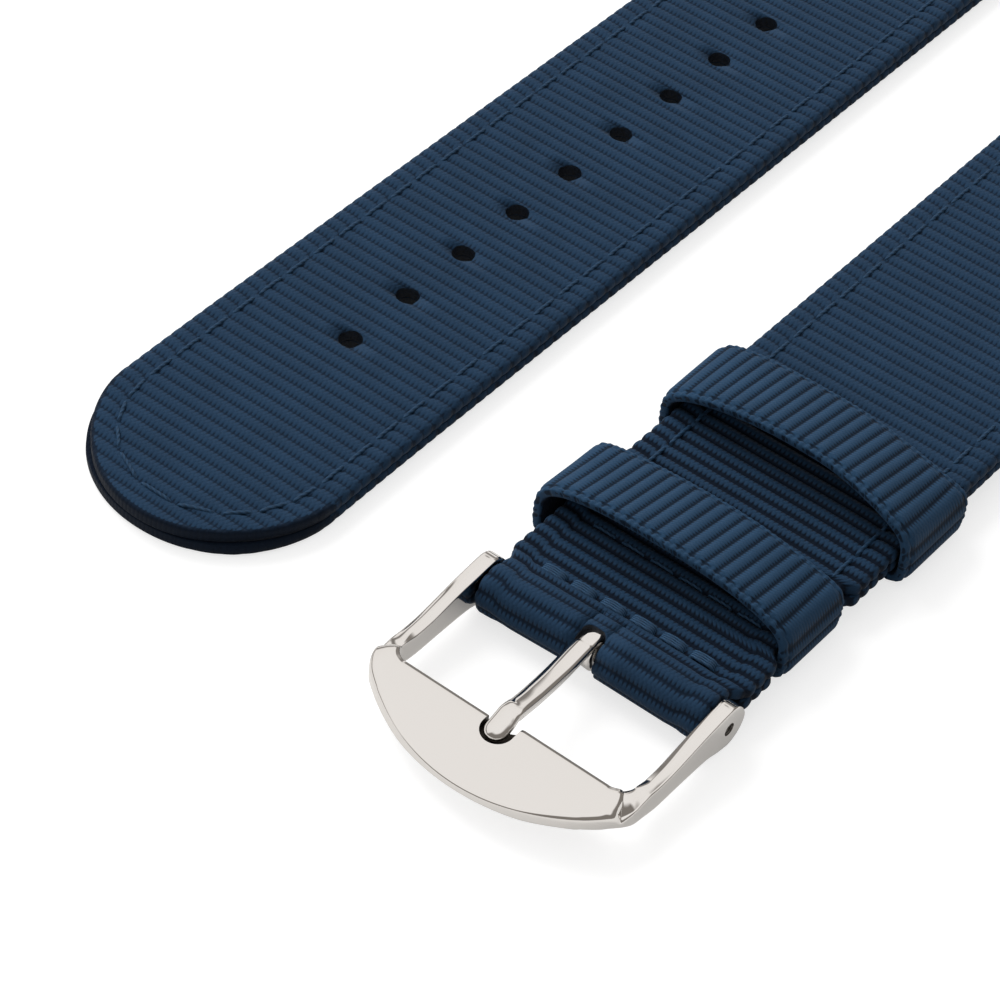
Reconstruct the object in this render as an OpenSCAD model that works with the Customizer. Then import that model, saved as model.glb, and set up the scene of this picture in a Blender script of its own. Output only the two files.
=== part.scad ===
// Two-piece nylon watch strap with a polished pin buckle, two keepers and three spring bars.
// X runs across the strap, Y along it and Z up. Both halves lie side by side on the ground plane.
// The origin is the middle of the whole pair's footprint, at ground height.

/* [Webbing] */
// Width of both halves, which is the gap between the watch lugs
strap_w = 20; // [18:0.5:24]
// Thickness of one ply of webbing
ply_t = 0.97; // [0.8:0.01:1.1]
// Gap between the two plies of each half
ply_gap = 0.06; // [0.03:0.01:0.12]
// How much narrower the webbing is between the arms of the buckle, where it is squeezed
fold_squeeze = 1.5; // [0.5:0.1:2.5]
// How far the fixed keeper presses in the right edge of the webbing
keeper_press = 0.9; // [0:0.1:1.5]
// Distance from the buckle bar to where the folded webbing lies flat
fold_reach = 2.9; // [2.7:0.1:5]
// Distance from a lug bar to where the folded webbing lies flat
lug_fold = 4.5; // [4:0.1:6]

/* [Tail half] */
// Length of the tail half from the lug bar to the rounded tip
tail_len = 120; // [95:1:145]
// Length of the rounded stretch at the tip
tip_round = 10.3; // [10.3:0.1:15]
// Radius of the tip's nose as a share of half the width
nose_share = 0.97; // [0.5:0.01:0.97]
// Number of holes
hole_count = 9; // [5:1:12]
// Distance from one hole to the next
hole_pitch = 6.5; // [4:0.1:8]
// Diameter of a hole
hole_d = 1.8; // [1.4:0.1:2.4]
// Distance from the tip to the first hole
first_hole = 23.3; // [18:0.1:32]

/* [Buckle half] */
// Length of the buckle half from the buckle bar to the lug bar
head_len = 75; // [60:1:95]
// Half width of the slot that the tongue swings in
slot_half = 1.05; // [0.95:0.05:2]
// Distance from the buckle bar to the back end of the slot
slot_back = 1.85; // [1:0.05:2.2]
// Distance between the middles of the two halves as they lie
halves_apart = 32; // [27:0.5:50]
// Distance of the buckle bar from the line of the first hole, towards the tip
buckle_lead = 12.1; // [0:0.1:30]

/* [Keepers] */
// Length of a keeper along the strap
keeper_len = 7.5; // [5:0.1:9]
// Thickness of a keeper's webbing
keeper_t = 0.96; // [0.8:0.01:1.1]
// Gap round the strap inside the free keeper
keeper_gap = 0.12; // [0.1:0.01:0.3]
// Gap at the top and at the right edge of the strap inside the fixed keeper
keeper_hug = 0.02; // [0.01:0.01:0.1]
// Distance from the buckle bar to the fixed keeper
fixed_keeper_y = 7.1; // [6:0.1:12]
// How far the fixed keeper sits to the left of the strap's middle
fixed_keeper_left = 0.8; // [0:0.1:1.2]
// Distance from the fixed keeper to the free keeper
keepers_apart = 6.4; // [1:0.1:20]
// Height of the free keeper's mouth above the strap, at its highest
free_mouth = 3.4; // [2.2:0.1:5]
// Height of the fixed keeper's mouth above the strap, at its highest
fixed_mouth = 2.9; // [2.2:0.1:5]
// Where a mouth is highest: 0 is its middle, 1 its right side
mouth_peak = 0.15; // [-0.4:0.05:0.4]
// Roundness of a mouth's left shoulder, 2 being an ellipse and more being squarer
left_shoulder = 1.9; // [1.5:0.1:4]
// Roundness of a mouth's right shoulder
right_shoulder = 2.7; // [1.5:0.1:4]
// Height of a keeper's back edge above the strap
keeper_back = 0.3; // [0.15:0.05:1]

/* [Buckle] */
// Gap between the squeezed webbing and each arm of the buckle
arm_gap = 0.15; // [0.1:0.01:0.4]
// Thickness of an arm
arm_t = 1.15; // [0.9:0.05:1.6]
// Radius of the ears round the bar
ear_r = 1.72; // [1.4:0.02:2]
// Distance from the bar to the back edge of the front plate
plate_back = 10.7; // [9:0.1:13]
// Distance from the bar to the front of the plate in its middle
plate_front = 16.1; // [14.5:0.1:19]
// Radius of the bow of the plate's front edge, seen from above
bow_r = 15.3; // [14:0.1:18]
// Radius of the plate's outer corners, seen from above
corner_r = 3; // [1.5:0.1:4]
// Radius of the window's corners
window_r = 0.9; // [0.4:0.1:1.5]
// Height of the plate's back edge above the bar's axis
plate_top = 1.47; // [1.2:0.01:1.7]
// Radius of the plate's rounded top, seen from the side
plate_crown_r = 16.6; // [14:0.1:24]
// Thickness of the plate
plate_t = 1; // [0.9:0.05:1.2]
// Depth of the plate's front rim below the bar's axis
plate_under = 0.35; // [0.2:0.05:0.8]
// How far the plate's raised middle ends short of the arms' inner faces
pad_inset = 1; // [0.6:0.1:2]
// How much lower the frame is beside that raised middle
shoulder_drop = 0.42; // [0.2:0.02:0.5]
// Height of the arms' top above the bar's axis where it dips
arm_dip = 0.78; // [0.6:0.02:1.2]
// Distance from the bar to that dip
arm_dip_y = 7.4; // [6:0.1:8.5]
// Depth of the arms' underside below the bar's axis, at the plate
arm_under = 0.85; // [0.5:0.05:1.2]
// Diameter of the holes in the ears
ear_hole_d = 1.0; // [0.98:0.01:1.08]
// Radius of the rest for the tongue's tip
rest_r = 1.35; // [1.1:0.05:1.8]
// Height of the floor of that rest above the bar's axis
rest_floor = 0.75; // [0.4:0.05:0.8]

/* [Tongue] */
// Width of the tongue
tongue_w = 1.6; // [1.2:0.1:2]
// Thickness of the tongue
tongue_t = 0.8; // [0.6:0.05:0.9]
// Thickness of the eye that is curled round the bar
eye_t = 0.72; // [0.5:0.02:0.8]
// How far the tongue's tip reaches over the plate's back edge
tongue_over = 1.6; // [1:0.1:2]
// Gap under the tongue's tip
tip_gap = 0.05; // [0.02:0.01:0.1]

/* [Spring bars] */
// Outer diameter of a bar's barrel
barrel_d = 1.8; // [1.5:0.05:2]
// Wall of the barrel
barrel_wall = 0.15; // [0.12:0.01:0.25]
// Gap between the barrel and the webbing or the tongue's eye
barrel_gap = 0.06; // [0.03:0.01:0.1]
// Gap round a sliding plunger
slide_gap = 0.04; // [0.02:0.01:0.08]
// Diameter of a plunger's shank
shank_d = 1.22; // [1.1:0.01:1.3]
// Diameter of a plunger's tip
tip_d = 0.9; // [0.8:0.01:0.92]
// Length of a plunger's tip
tip_len = 1.05; // [0.8:0.05:1.3]
// Travel of a plunger
plunger_travel = 1.15; // [0.9:0.05:1.4]
// Diameter of the spring's wire
wire_d = 0.22; // [0.15:0.01:0.28]
// Pitch of the spring's turns
coil_pitch = 0.8; // [0.75:0.01:1.2]

/* [Stitching] */
// Distance of the edge seams from the strap's edge
seam_inset = 2; // [1.5:0.1:3]
// Length of one edge stitch, from hole to hole
stitch_len = 3; // [2:0.1:4]
// Width of the thread in the edge seams
thread_w = 0.36; // [0.25:0.01:0.5]
// Height that a thread stands proud of the webbing
thread_proud = 0.06; // [0.03:0.01:0.08]
// Number of stitches in the rows that close the folds
row_count = 6; // [4:1:7]
// Length of one stitch in those rows, from hole to hole
row_pitch = 2.4; // [1.5:0.1:2.6]
// Width of the thread in those rows
row_thread_w = 0.8; // [0.4:0.02:0.9]

/* [Hidden] */

// Colours
navy = "#1f3a56";
navy_thread = "#274866";
steel = "#c9c7c3";
spring_steel = "#9a9da1";

// Smoothness of circles, and the small overlap that makes a cut clean
fine = 64;
eps = 0.01;

// How far a cut runs on past what it cuts
cut_over = 5;

// Widths that follow from the strap's
half_w = strap_w/2;
fold_w = strap_w - fold_squeeze;
neck_x = half_w - keeper_press;
frame_inner = fold_w + 2*arm_gap;

// Heights of the strap
stack_half = ply_t + ply_gap/2;
strap_mid = keeper_t + keeper_gap + stack_half;
strap_top = strap_mid + stack_half;
strap_under = strap_mid - stack_half;

// Folds round the bars
barrel_r = barrel_d/2;
loop_in = barrel_r + barrel_gap;
loop_out = loop_in + ply_t;

// How far the tail half's fold stays clear of the ground that its lower ply lies on
lug_lift = 0.05;

// Spring bars: a lug bar's shoulders stand just inside the lugs, the buckle bar's just inside the ears
shoulder_gap = 0.05;
lug_shoulder = half_w - shoulder_gap;
ear_shoulder = frame_inner/2 - 2*shoulder_gap;
shank_out = plunger_travel + 0.2;
bore_r = barrel_r - barrel_wall;
head_r = bore_r - slide_gap;
lip_r = shank_d/2 + slide_gap;
lip_t = 0.35;
head_len_in = 0.8;
head_clear = 0.03;
wire_r = wire_d/2;
coil_r = bore_r - wire_r - 0.08;
coil_sides = 6;
coil_steps = 8;

// Places of the two halves, worked out so that the origin is the middle of the footprint
keeper_reach = half_w + keeper_gap + keeper_t;
lug_reach = lug_shoulder + tip_len;
frame_outer = frame_inner/2 + arm_t;
head_reach = max(keeper_reach, lug_reach, frame_outer);
tail_reach = max(lug_reach, half_w);
tail_x = -(halves_apart + head_reach - tail_reach)/2;
head_x = tail_x + halves_apart;
front_y = min(-first_hole, -buckle_lead - plate_front);
back_y = max(tail_len - first_hole, head_len - buckle_lead) + loop_out;
hole_y = -(front_y + back_y)/2;
tail_mid = stack_half;
tail_bar_z = loop_out + lug_lift;
tip_y = hole_y - first_hole;
tail_bar_y = tip_y + tail_len;
buckle_y = hole_y - buckle_lead;
head_bar_y = buckle_y + head_len;

// Keepers, measured from the buckle bar
fixed_y = fixed_keeper_y;
free_y = fixed_keeper_y + keeper_len + keepers_apart;
neck_start = fixed_y - 0.4;
neck_end = fixed_y + keeper_len + 0.4;
butt_y = fixed_y + keeper_len/2;
butt_gap = 0.4;

// Where the webbing widens again behind the squeezed fold, and over what length, and over what length it
// narrows towards the fixed keeper
squeeze_end = 1.7;
squeeze_run = 1;
neck_run = 0.7;

// Roundness of the keepers' corners at their back edge, and the radius of their lower corners
back_shoulder = 6;
low_corner_r = 0.25;

// Rounded tip, seen from above: a nose arc that runs smoothly into an arc on either side
nose_r = nose_share*half_w;
side_r = (half_w*half_w + tip_round*tip_round - 2*nose_r*tip_round)/(2*(half_w - nose_r));
side_x = side_r - half_w;
nose_turn = atan2(tip_round - nose_r, side_x);

// Buckle: the bow's centre, the centre of the crowned top, and the middle of the tongue's rest
bow_y = bow_r - plate_front;
crown_slope = 3;
crown_y = -plate_back + plate_crown_r*sin(crown_slope);
crown_z = plate_top - plate_crown_r*cos(crown_slope);
rest_y = -plate_back - 0.5;

// Tongue: its eye, the gap where the curled strip's end meets the strip, and its tip
eye_in = barrel_r + barrel_gap;
eye_out = eye_in + eye_t;
eye_gap = 0.2;
eye_gap_turn = -50;
tip_y_rel = -plate_back - tongue_over;
tip_z = rest_floor + tip_gap + tongue_t/2;

// Stitches: how deep a thread is sunk, how wide a leg is and how far a seam ends before a fold
thread_sunk = 0.1;
leg_w = 0.3;
seam_end = 1.5;
row_lead = 0.3;
keeper_seam_inset = 1.2;
keeper_seam_count = 2;
row_y = fold_reach + 0.15;
lug_row_y = lug_fold + row_lead + 0.1;

// Puts a profile drawn as (along the strap, height) across the strap, w wide, about the middle
module across(w) {
    rotate([90, 0, 90])
        linear_extrude(height = w, center = true)
            children();
}

// A plan run upwards, taller than anything on the strap
module upright() {
    translate([0, 0, -2*loop_out])
        linear_extrude(height = 4*loop_out + cut_over)
            children();
}

// Lays a piece in the frame of a half: the bar or first hole at y, the strap's mid-plane at height z
module place(x, y, z = strap_mid) {
    translate([x, y, z])
        children();
}

// Angle on the outer circle of a fold where a flat ply leaves it: the ply's outer face starts at
// (reach, z), measured from the bar
function leave_angle(reach, z) = atan2(z, reach) + acos(loop_out/norm([reach, z]));

// Where a ply of a fold meets the gap between the plies, at height g from the bar
function meet_y(t, a, g) = t[0] + (t[1] - g)*sin(a)/cos(a);

// The outside of a fold round a bar at the origin, w wide: the strap leaves towards +y, its mid-plane
// at -drop
module fold_body(w, reach, drop) {
    a = leave_angle(reach, stack_half - drop);
    b = leave_angle(reach, stack_half + drop);
    rotate([0, 90, 0])
        cylinder(r = loop_out, h = w, center = true, $fn = fine);
    across(w)
        polygon([loop_out*[cos(a), sin(a)], [reach, stack_half - drop], [reach + eps, stack_half - drop],
            [reach + eps, -stack_half - drop], [reach, -stack_half - drop], loop_out*[cos(b), -sin(b)],
            [0, 0]]);
}

// The hollow of a fold, w wide, and the gap between its plies as far as y = run
module fold_hollow(w, reach, drop, run) {
    g = ply_gap/2;
    a = leave_angle(reach, stack_half - drop);
    b = leave_angle(reach, stack_half + drop);
    t = loop_in*[cos(a), sin(a)];
    u = loop_in*[cos(b), sin(b)];
    above = meet_y(t, a, g - drop);
    below = meet_y(u, b, g + drop);
    across(w) {
        circle(r = loop_in, $fn = fine);
        polygon([t, [above, g - drop], [below, -g - drop], [u[0], -u[1]]]);
        translate([min(above, below) - eps, -g - drop])
            square([run, ply_gap]);
    }
}

// Places a fold or its hollow at the lug end of a half, y being the bar's distance from the other end
module at_lug_end(y, drop) {
    translate([0, y, drop])
        mirror([0, 1, 0])
            children();
}

// The flat stretch of a half, both plies as one block
module flat_stretch(from, to) {
    across(2*strap_w)
        translate([from, -stack_half])
            square([to - from, 2*stack_half]);
}

// Outline of the tail half from above, the nose of the tip touching y = 0
module tail_plan() {
    nose_y = tip_round - side_r*sin(nose_turn);
    translate([0, nose_r])
        circle(r = nose_r, $fn = 2*fine);
    intersection() {
        translate([-side_x, tip_round])
            circle(r = side_r, $fn = 2*fine);
        translate([side_x, tip_round])
            circle(r = side_r, $fn = 2*fine);
        translate([-half_w, nose_y])
            square([strap_w, tip_round - nose_y + eps]);
    }
    translate([-half_w, tip_round])
        square([strap_w, tail_len]);
}

// Outline of the buckle half from above, drawn in between the buckle's arms and, on the right, in the
// fixed keeper
module head_plan() {
    a = fold_w/2;
    end_y = head_len + 2*loop_out;
    polygon([[a, -2*loop_out], [a, squeeze_end], [half_w, squeeze_end + squeeze_run],
        [half_w, neck_start - neck_run], [neck_x, neck_start], [neck_x, neck_end],
        [half_w, neck_end + neck_run], [half_w, end_y],
        [-half_w, end_y], [-half_w, squeeze_end + squeeze_run], [-a, squeeze_end], [-a, -2*loop_out]]);
}

// Tail half, the tip at y = 0: its lower ply lies flat from the tip to the fold
module tail_webbing() {
    drop = tail_bar_z - tail_mid;
    color(navy)
        place(tail_x, tip_y, tail_mid)
            difference() {
                intersection() {
                    union() {
                        flat_stretch(0, tail_len - lug_fold);
                        at_lug_end(tail_len, drop)
                            fold_body(2*strap_w, lug_fold, drop);
                    }
                    upright()
                        tail_plan();
                }
                at_lug_end(tail_len, drop)
                    fold_hollow(3*strap_w, lug_fold, drop, tail_len);
                for (i = [0:hole_count - 1])
                    translate([0, first_hole + i*hole_pitch, -2*stack_half])
                        cylinder(h = 4*stack_half, d = hole_d, $fn = fine);
            }
}

// Buckle half, the buckle bar at y = 0: folded at both ends, its lower ply butted over the fixed
// keeper's lower run, and slotted for the tongue
module buckle_webbing() {
    color(navy)
        place(head_x, buckle_y)
            difference() {
                intersection() {
                    union() {
                        flat_stretch(fold_reach, head_len - lug_fold);
                        fold_body(2*strap_w, fold_reach, 0);
                        at_lug_end(head_len, 0)
                            fold_body(2*strap_w, lug_fold, 0);
                    }
                    upright()
                        head_plan();
                }
                fold_hollow(3*strap_w, fold_reach, 0, head_len/2);
                at_lug_end(head_len, 0)
                    fold_hollow(3*strap_w, lug_fold, 0, head_len/2);
                translate([-strap_w, butt_y - butt_gap/2, -2*stack_half])
                    cube([2*strap_w, butt_gap, 2*stack_half]);
                translate([-slot_half, -2*loop_out, -2*loop_out])
                    cube([2*slot_half, 2*loop_out + slot_back, 4*loop_out]);
                rotate([0, 90, 0])
                    cylinder(r = eye_out + 0.1, h = 2*slot_half, center = true, $fn = fine);
            }
}

// Points of a keeper's inner outline at one station, anticlockwise from the lower left corner: flat below
// at height low, upright sides at a half width of a up to height side, and a rounded top up to height top
// whose highest point is at peak, with a shoulder of its own roundness on either side
function keeper_inner(a, low, side, top, peak, left, right) =
    let (r = low_corner_r, n = 4, m = 12)
    concat(
        [for (i = [0:n]) [-a + r, low + r] + r*[cos(180 + 90*i/n), sin(180 + 90*i/n)]],
        [for (i = [0:n]) [a - r, low + r] + r*[cos(270 + 90*i/n), sin(270 + 90*i/n)]],
        [for (i = [0:m])
            [peak + (a - peak)*pow(cos(90*i/m), 2/right), side + (top - side)*pow(sin(90*i/m), 2/right)]],
        [for (i = [m - 1:-1:0])
            [peak - (a + peak)*pow(cos(90*i/m), 2/left), side + (top - side)*pow(sin(90*i/m), 2/left)]]);

// The same outline moved outwards by t
function moved_out(p, t) =
    let (n = len(p))
    [for (i = [0:n - 1])
        let (d = p[(i + 1)%n] - p[(i + n - 1)%n])
        p[i] + t*[d[1], -d[0]]/norm(d)];

// A keeper: a flat band bent into a loop, its mouth towards -y standing open and its back edge lying down
module keeper_loop(a, low, side, mouth, back) {
    stations = 5;
    outlines = [for (s = [0:stations])
        let (open = pow(1 - s/stations, 1.2))
        keeper_inner(a, low, side, back + (mouth - back)*open, a*mouth_peak*open,
            back_shoulder + (left_shoulder - back_shoulder)*open,
            back_shoulder + (right_shoulder - back_shoulder)*open)];
    n = len(outlines[0]);
    k = n*(stations + 1);
    inner = [for (s = [0:stations]) each [
        for (p = outlines[s]) [p[0], s*keeper_len/stations, p[1]]]];
    outer = [for (s = [0:stations]) each [
        for (p = moved_out(outlines[s], keeper_t)) [p[0], s*keeper_len/stations, p[1]]]];
    walls = [for (s = [0:stations - 1]) for (i = [0:n - 1])
        let (j = (i + 1)%n, p = s*n)
        each [[p + i, p + n + i, p + n + j], [p + i, p + n + j, p + j],
            [k + p + i, k + p + n + j, k + p + n + i], [k + p + i, k + p + j, k + p + n + j]]];
    ends = [for (i = [0:n - 1])
        let (j = (i + 1)%n, e = stations*n)
        each [[i, j, k + j], [i, k + j, k + i],
            [e + i, k + e + j, e + j], [e + i, k + e + i, k + e + j]]];
    polyhedron(points = concat(outer, inner), faces = concat(walls, ends), convexity = 6);
}

module fixed_keeper() {
    color(navy)
        place(head_x - fixed_keeper_left, buckle_y + fixed_y, 0)
            keeper_loop(neck_x + keeper_hug + fixed_keeper_left, keeper_t, strap_top + keeper_hug,
                strap_top + fixed_mouth, strap_top + keeper_back);
}

module free_keeper() {
    color(navy)
        place(head_x, buckle_y + free_y, 0)
            keeper_loop(half_w + keeper_gap, keeper_t, strap_top + keeper_gap/2,
                strap_top + free_mouth, strap_top + keeper_back);
}

// Side view of the plate's crowned top, lowered by drop; r is its radius, or less for its underside
module crown(r, drop) {
    translate([crown_y, crown_z - drop])
        circle(r = r, $fn = 4*fine);
}

// Side view of the plate, lowered by drop: a crowned shell with a flat-bottomed front rim
module plate_side(drop) {
    difference() {
        intersection() {
            crown(plate_crown_r, drop);
            translate([-2*plate_front, -plate_under])
                square([2*plate_front, 2*plate_top + plate_under]);
        }
        intersection() {
            crown(plate_crown_r - plate_t, drop);
            translate([-plate_front + 0.5, -2*plate_top])
                square([2*plate_front, 4*plate_top]);
        }
    }
}

// Side view of an arm: the round ear, a dip, and the shoulder beside the plate's raised middle
module arm_side() {
    circle(r = ear_r, $fn = fine);
    intersection() {
        crown(plate_crown_r, shoulder_drop);
        translate([-2*plate_front, -plate_under])
            square([2*plate_front + crown_y, 2*plate_top + plate_under]);
    }
    polygon([[0, ear_r], [-arm_dip_y, arm_dip], [crown_y, crown_z + plate_crown_r - shoulder_drop],
        [crown_y, -plate_under], [-plate_back - 1, -plate_under], [-plate_back + 1.6, -arm_under],
        [-2.2, -ear_r + 0.22], [0, -ear_r]]);
}

// Plan of the buckle's frame without its window: straight sides, bowed front, rounded corners
module frame_blank() {
    cx = frame_outer - corner_r;
    cy = bow_y - sqrt(pow(bow_r - corner_r, 2) - cx*cx);
    on_bow = [0, bow_y] + bow_r*[cx, cy - bow_y]/(bow_r - corner_r);
    difference() {
        intersection() {
            translate([0, bow_y])
                circle(r = bow_r, $fn = 4*fine);
            translate([-frame_outer, -2*plate_front])
                square([2*frame_outer, 2*plate_front + bow_y]);
        }
        for (turn = [0, 1])
            mirror([turn, 0])
                difference() {
                    polygon([[cx, cy], [frame_outer + 1, cy], [frame_outer + 1, on_bow[1] - 3],
                        on_bow + 2*(on_bow - [cx, cy])/corner_r]);
                    translate([cx, cy])
                        circle(r = corner_r, $fn = fine);
                }
    }
    translate([-frame_outer, bow_y - eps])
        square([2*frame_outer, 2*ear_r - bow_y]);
}

// Plan of the frame's window, open towards +y, with rounded inner corners
module frame_window() {
    r = window_r;
    a = frame_inner/2;
    translate([-a, -plate_back + r])
        square([2*a, 2*plate_back]);
    translate([-a + r, -plate_back])
        square([2*(a - r), r + eps]);
    for (side = [-1, 1])
        translate([side*(a - r), -plate_back + r])
            circle(r = r, $fn = fine);
}

// Plan of the two arms, whose inner faces stand at the window's sides
module arm_strips() {
    for (turn = [0, 1])
        mirror([turn, 0])
            translate([frame_inner/2, -2*plate_front])
                square([2*arm_t, 3*plate_front]);
}

// A side view run across the frame, cut to a plan
module cut_to_plan(w) {
    intersection() {
        across(w)
            children(0);
        upright()
            children(1);
    }
}

// Plan of the plate between the arms
module plate_plan() {
    difference() {
        frame_blank();
        frame_window();
    }
}

module buckle_frame() {
    pad_half = frame_inner/2 - pad_inset;
    color(steel)
        place(head_x, buckle_y)
            difference() {
                union() {
                    cut_to_plan(3*frame_outer) {
                        arm_side();
                        intersection() {
                            frame_blank();
                            arm_strips();
                        }
                    }
                    cut_to_plan(frame_inner + 0.2) {
                        plate_side(shoulder_drop);
                        difference() {
                            plate_plan();
                            translate([-pad_half + 0.1, -2*plate_front])
                                square([2*pad_half - 0.2, 2*plate_front]);
                        }
                    }
                    cut_to_plan(2*pad_half) {
                        plate_side(0);
                        plate_plan();
                    }
                }
                rotate([0, 90, 0])
                    cylinder(d = ear_hole_d, h = 3*frame_outer, center = true, $fn = fine);
                translate([0, rest_y, rest_floor])
                    cylinder(r = rest_r, h = cut_over, $fn = fine);
                translate([-rest_r, rest_y, rest_floor])
                    cube([2*rest_r, cut_over, cut_over]);
            }
}

// Middle line of the tongue as (along, height) knots, from the top of the eye to the tip
tongue_knots = [[0, eye_out - tongue_t/2], [-2, 1.16], [-4.5, 1.12], [-7.3, 1.45],
    [-plate_back + 1, 1.85], [-plate_back - 0.1, 1.66], [tip_y_rel, tip_z]];

// Smooth curve through the knots: value at u from 0 to the number of spans
function spline_at(k, u) =
    let (n = len(k) - 1, i = min(floor(u), n - 1), t = u - i,
        a = k[max(i - 1, 0)], b = k[i], c = k[i + 1], d = k[min(i + 2, n)])
    0.5*(2*b + (c - a)*t + (2*a - 5*b + 4*c - d)*t*t + (3*b - 3*c + d - a)*t*t*t);

function side_step(k, u) =
    let (d = spline_at(k, u + 0.01) - spline_at(k, u - 0.01)) [-d[1], d[0]]/norm(d);

module tongue_side() {
    spans = len(tongue_knots) - 1;
    steps = [for (i = [0:4*spans]) min(max(i/4, 0.01), spans - 0.01)];
    above = [for (u = steps) spline_at(tongue_knots, u) - side_step(tongue_knots, u)*tongue_t/2];
    below = [for (u = steps) spline_at(tongue_knots, u) + side_step(tongue_knots, u)*tongue_t/2];
    difference() {
        union() {
            circle(r = eye_out, $fn = fine);
            polygon(concat(above, [for (i = [len(below) - 1:-1:0]) below[i]]));
        }
        circle(r = eye_in, $fn = fine);
        rotate(eye_gap_turn)
            square([2*eye_out, eye_gap]);
    }
}

// Outline of the tongue from above: straight, with a rounded nose
module tongue_plan() {
    r = tongue_w/2;
    translate([-r, tip_y_rel + r])
        square([tongue_w, -tip_y_rel + 2*eye_out]);
    translate([0, tip_y_rel + r])
        circle(r = r, $fn = fine);
}

module buckle_tongue() {
    color(steel)
        place(head_x, buckle_y)
            intersection() {
                across(2*tongue_w)
                    tongue_side();
                upright()
                    tongue_plan();
            }
}

// Barrel of a spring bar along X, its ends rolled in to hold the plungers
module bar_barrel(shoulder) {
    half = shoulder - shank_out;
    rotate([0, 90, 0])
        difference() {
            cylinder(r = barrel_r, h = 2*half, center = true, $fn = fine);
            cylinder(r = bore_r, h = 2*(half - lip_t), center = true, $fn = fine);
            cylinder(r = lip_r, h = 3*half, center = true, $fn = fine);
        }
}

// Distance from a bar's middle to the inner face of a plunger's head
function head_face(shoulder) = shoulder - shank_out - lip_t - head_clear - head_len_in;

// Plunger on the +x side: head inside the barrel, shank through its end, shoulder and tip
module bar_plunger(shoulder) {
    face = head_face(shoulder);
    rotate([0, 90, 0]) {
        translate([0, 0, face])
            cylinder(r = head_r, h = head_len_in, $fn = fine);
        translate([0, 0, face + head_len_in - eps])
            cylinder(d = shank_d, h = shoulder - face - head_len_in + eps, $fn = fine);
        translate([0, 0, shoulder - eps])
            cylinder(d = tip_d, h = tip_len + eps, $fn = fine);
    }
}

// Coil spring between the two plungers of a bar, one unbroken tube along X
module bar_spring(shoulder) {
    length = 2*(head_face(shoulder) - wire_r - 0.02);
    turns = floor(length/coil_pitch);
    count = turns*coil_steps;
    lead = atan2(length/turns, 360*coil_r*PI/180);
    points = [for (i = [0:count]) for (j = [0:coil_sides - 1])
        let (a = 360*i/coil_steps, b = 360*j/coil_sides,
            r = coil_r + wire_r*cos(b),
            x = -length/2 + length*i/count + wire_r*sin(b)*cos(lead),
            t = -wire_r*sin(b)*sin(lead))
        [x, r*cos(a) - t*sin(a), r*sin(a) + t*cos(a)]];
    walls = [for (i = [0:count - 1]) for (j = [0:coil_sides - 1])
        let (m = (j + 1)%coil_sides, p = i*coil_sides, q = p + coil_sides)
        each [[p + j, q + m, q + j], [p + j, p + m, q + m]]];
    first = [for (j = [1:coil_sides - 2]) [0, j + 1, j]];
    last = [for (j = [1:coil_sides - 2])
        let (e = count*coil_sides) [e, e + j, e + j + 1]];
    echo("least gap between turns", length/turns - wire_d);
    polyhedron(points = points, faces = concat(walls, first, last), convexity = 8);
}

module buckle_bar_barrel() {
    color(steel)
        place(head_x, buckle_y)
            bar_barrel(ear_shoulder);
}

module buckle_bar_spring() {
    color(spring_steel)
        place(head_x, buckle_y)
            bar_spring(ear_shoulder);
}

module buckle_bar_plunger_left() {
    color(steel)
        place(head_x, buckle_y)
            mirror([1, 0, 0])
                bar_plunger(ear_shoulder);
}

module buckle_bar_plunger_right() {
    color(steel)
        place(head_x, buckle_y)
            bar_plunger(ear_shoulder);
}

module tail_bar_barrel() {
    color(steel)
        place(tail_x, tail_bar_y, tail_bar_z)
            bar_barrel(lug_shoulder);
}

module tail_bar_spring() {
    color(spring_steel)
        place(tail_x, tail_bar_y, tail_bar_z)
            bar_spring(lug_shoulder);
}

module tail_bar_plunger_left() {
    color(steel)
        place(tail_x, tail_bar_y, tail_bar_z)
            mirror([1, 0, 0])
                bar_plunger(lug_shoulder);
}

module tail_bar_plunger_right() {
    color(steel)
        place(tail_x, tail_bar_y, tail_bar_z)
            bar_plunger(lug_shoulder);
}

module head_bar_barrel() {
    color(steel)
        place(head_x, head_bar_y)
            bar_barrel(lug_shoulder);
}

module head_bar_spring() {
    color(spring_steel)
        place(head_x, head_bar_y)
            bar_spring(lug_shoulder);
}

module head_bar_plunger_left() {
    color(steel)
        place(head_x, head_bar_y)
            mirror([1, 0, 0])
                bar_plunger(lug_shoulder);
}

module head_bar_plunger_right() {
    color(steel)
        place(head_x, head_bar_y)
            bar_plunger(lug_shoulder);
}

// Side view of a lockstitched seam of n stitches through a stack from z = low to z = high: threads that
// stand proud by up and down on its two faces, and a leg at every needle hole
module seam_side(n, pitch, low, high, up, down) {
    for (i = [0:n - 1])
        translate([i*pitch + leg_w/2, 0]) {
            translate([0, high - thread_sunk])
                square([pitch - leg_w, thread_sunk + up]);
            translate([0, low - down])
                square([pitch - leg_w, thread_sunk + down]);
        }
    for (i = [0:n])
        translate([i*pitch - leg_w/2, low + 0.02])
            square([leg_w + (i < n ? eps : 0), high - low - 0.04]);
}

// A straight seam along Y from the origin through both plies of webbing, proud by down underneath
module seam_along(n, pitch, down) {
    across(thread_w)
        seam_side(n, pitch, -stack_half, stack_half, thread_proud, down);
}

// A straight seam along X, about the middle, through a stack from z = low to z = high
module seam_across(n, pitch, w, low, high, up, down) {
    translate([-n*pitch/2, 0, 0])
        rotate([90, 0, 0])
            linear_extrude(height = w, center = true)
                seam_side(n, pitch, low, high, up, down);
}

// A row of thick stitches that closes a fold, proud by down underneath
module fold_row(down) {
    seam_across(row_count, row_pitch, row_thread_w, -stack_half, stack_half, thread_proud, down);
}

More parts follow.
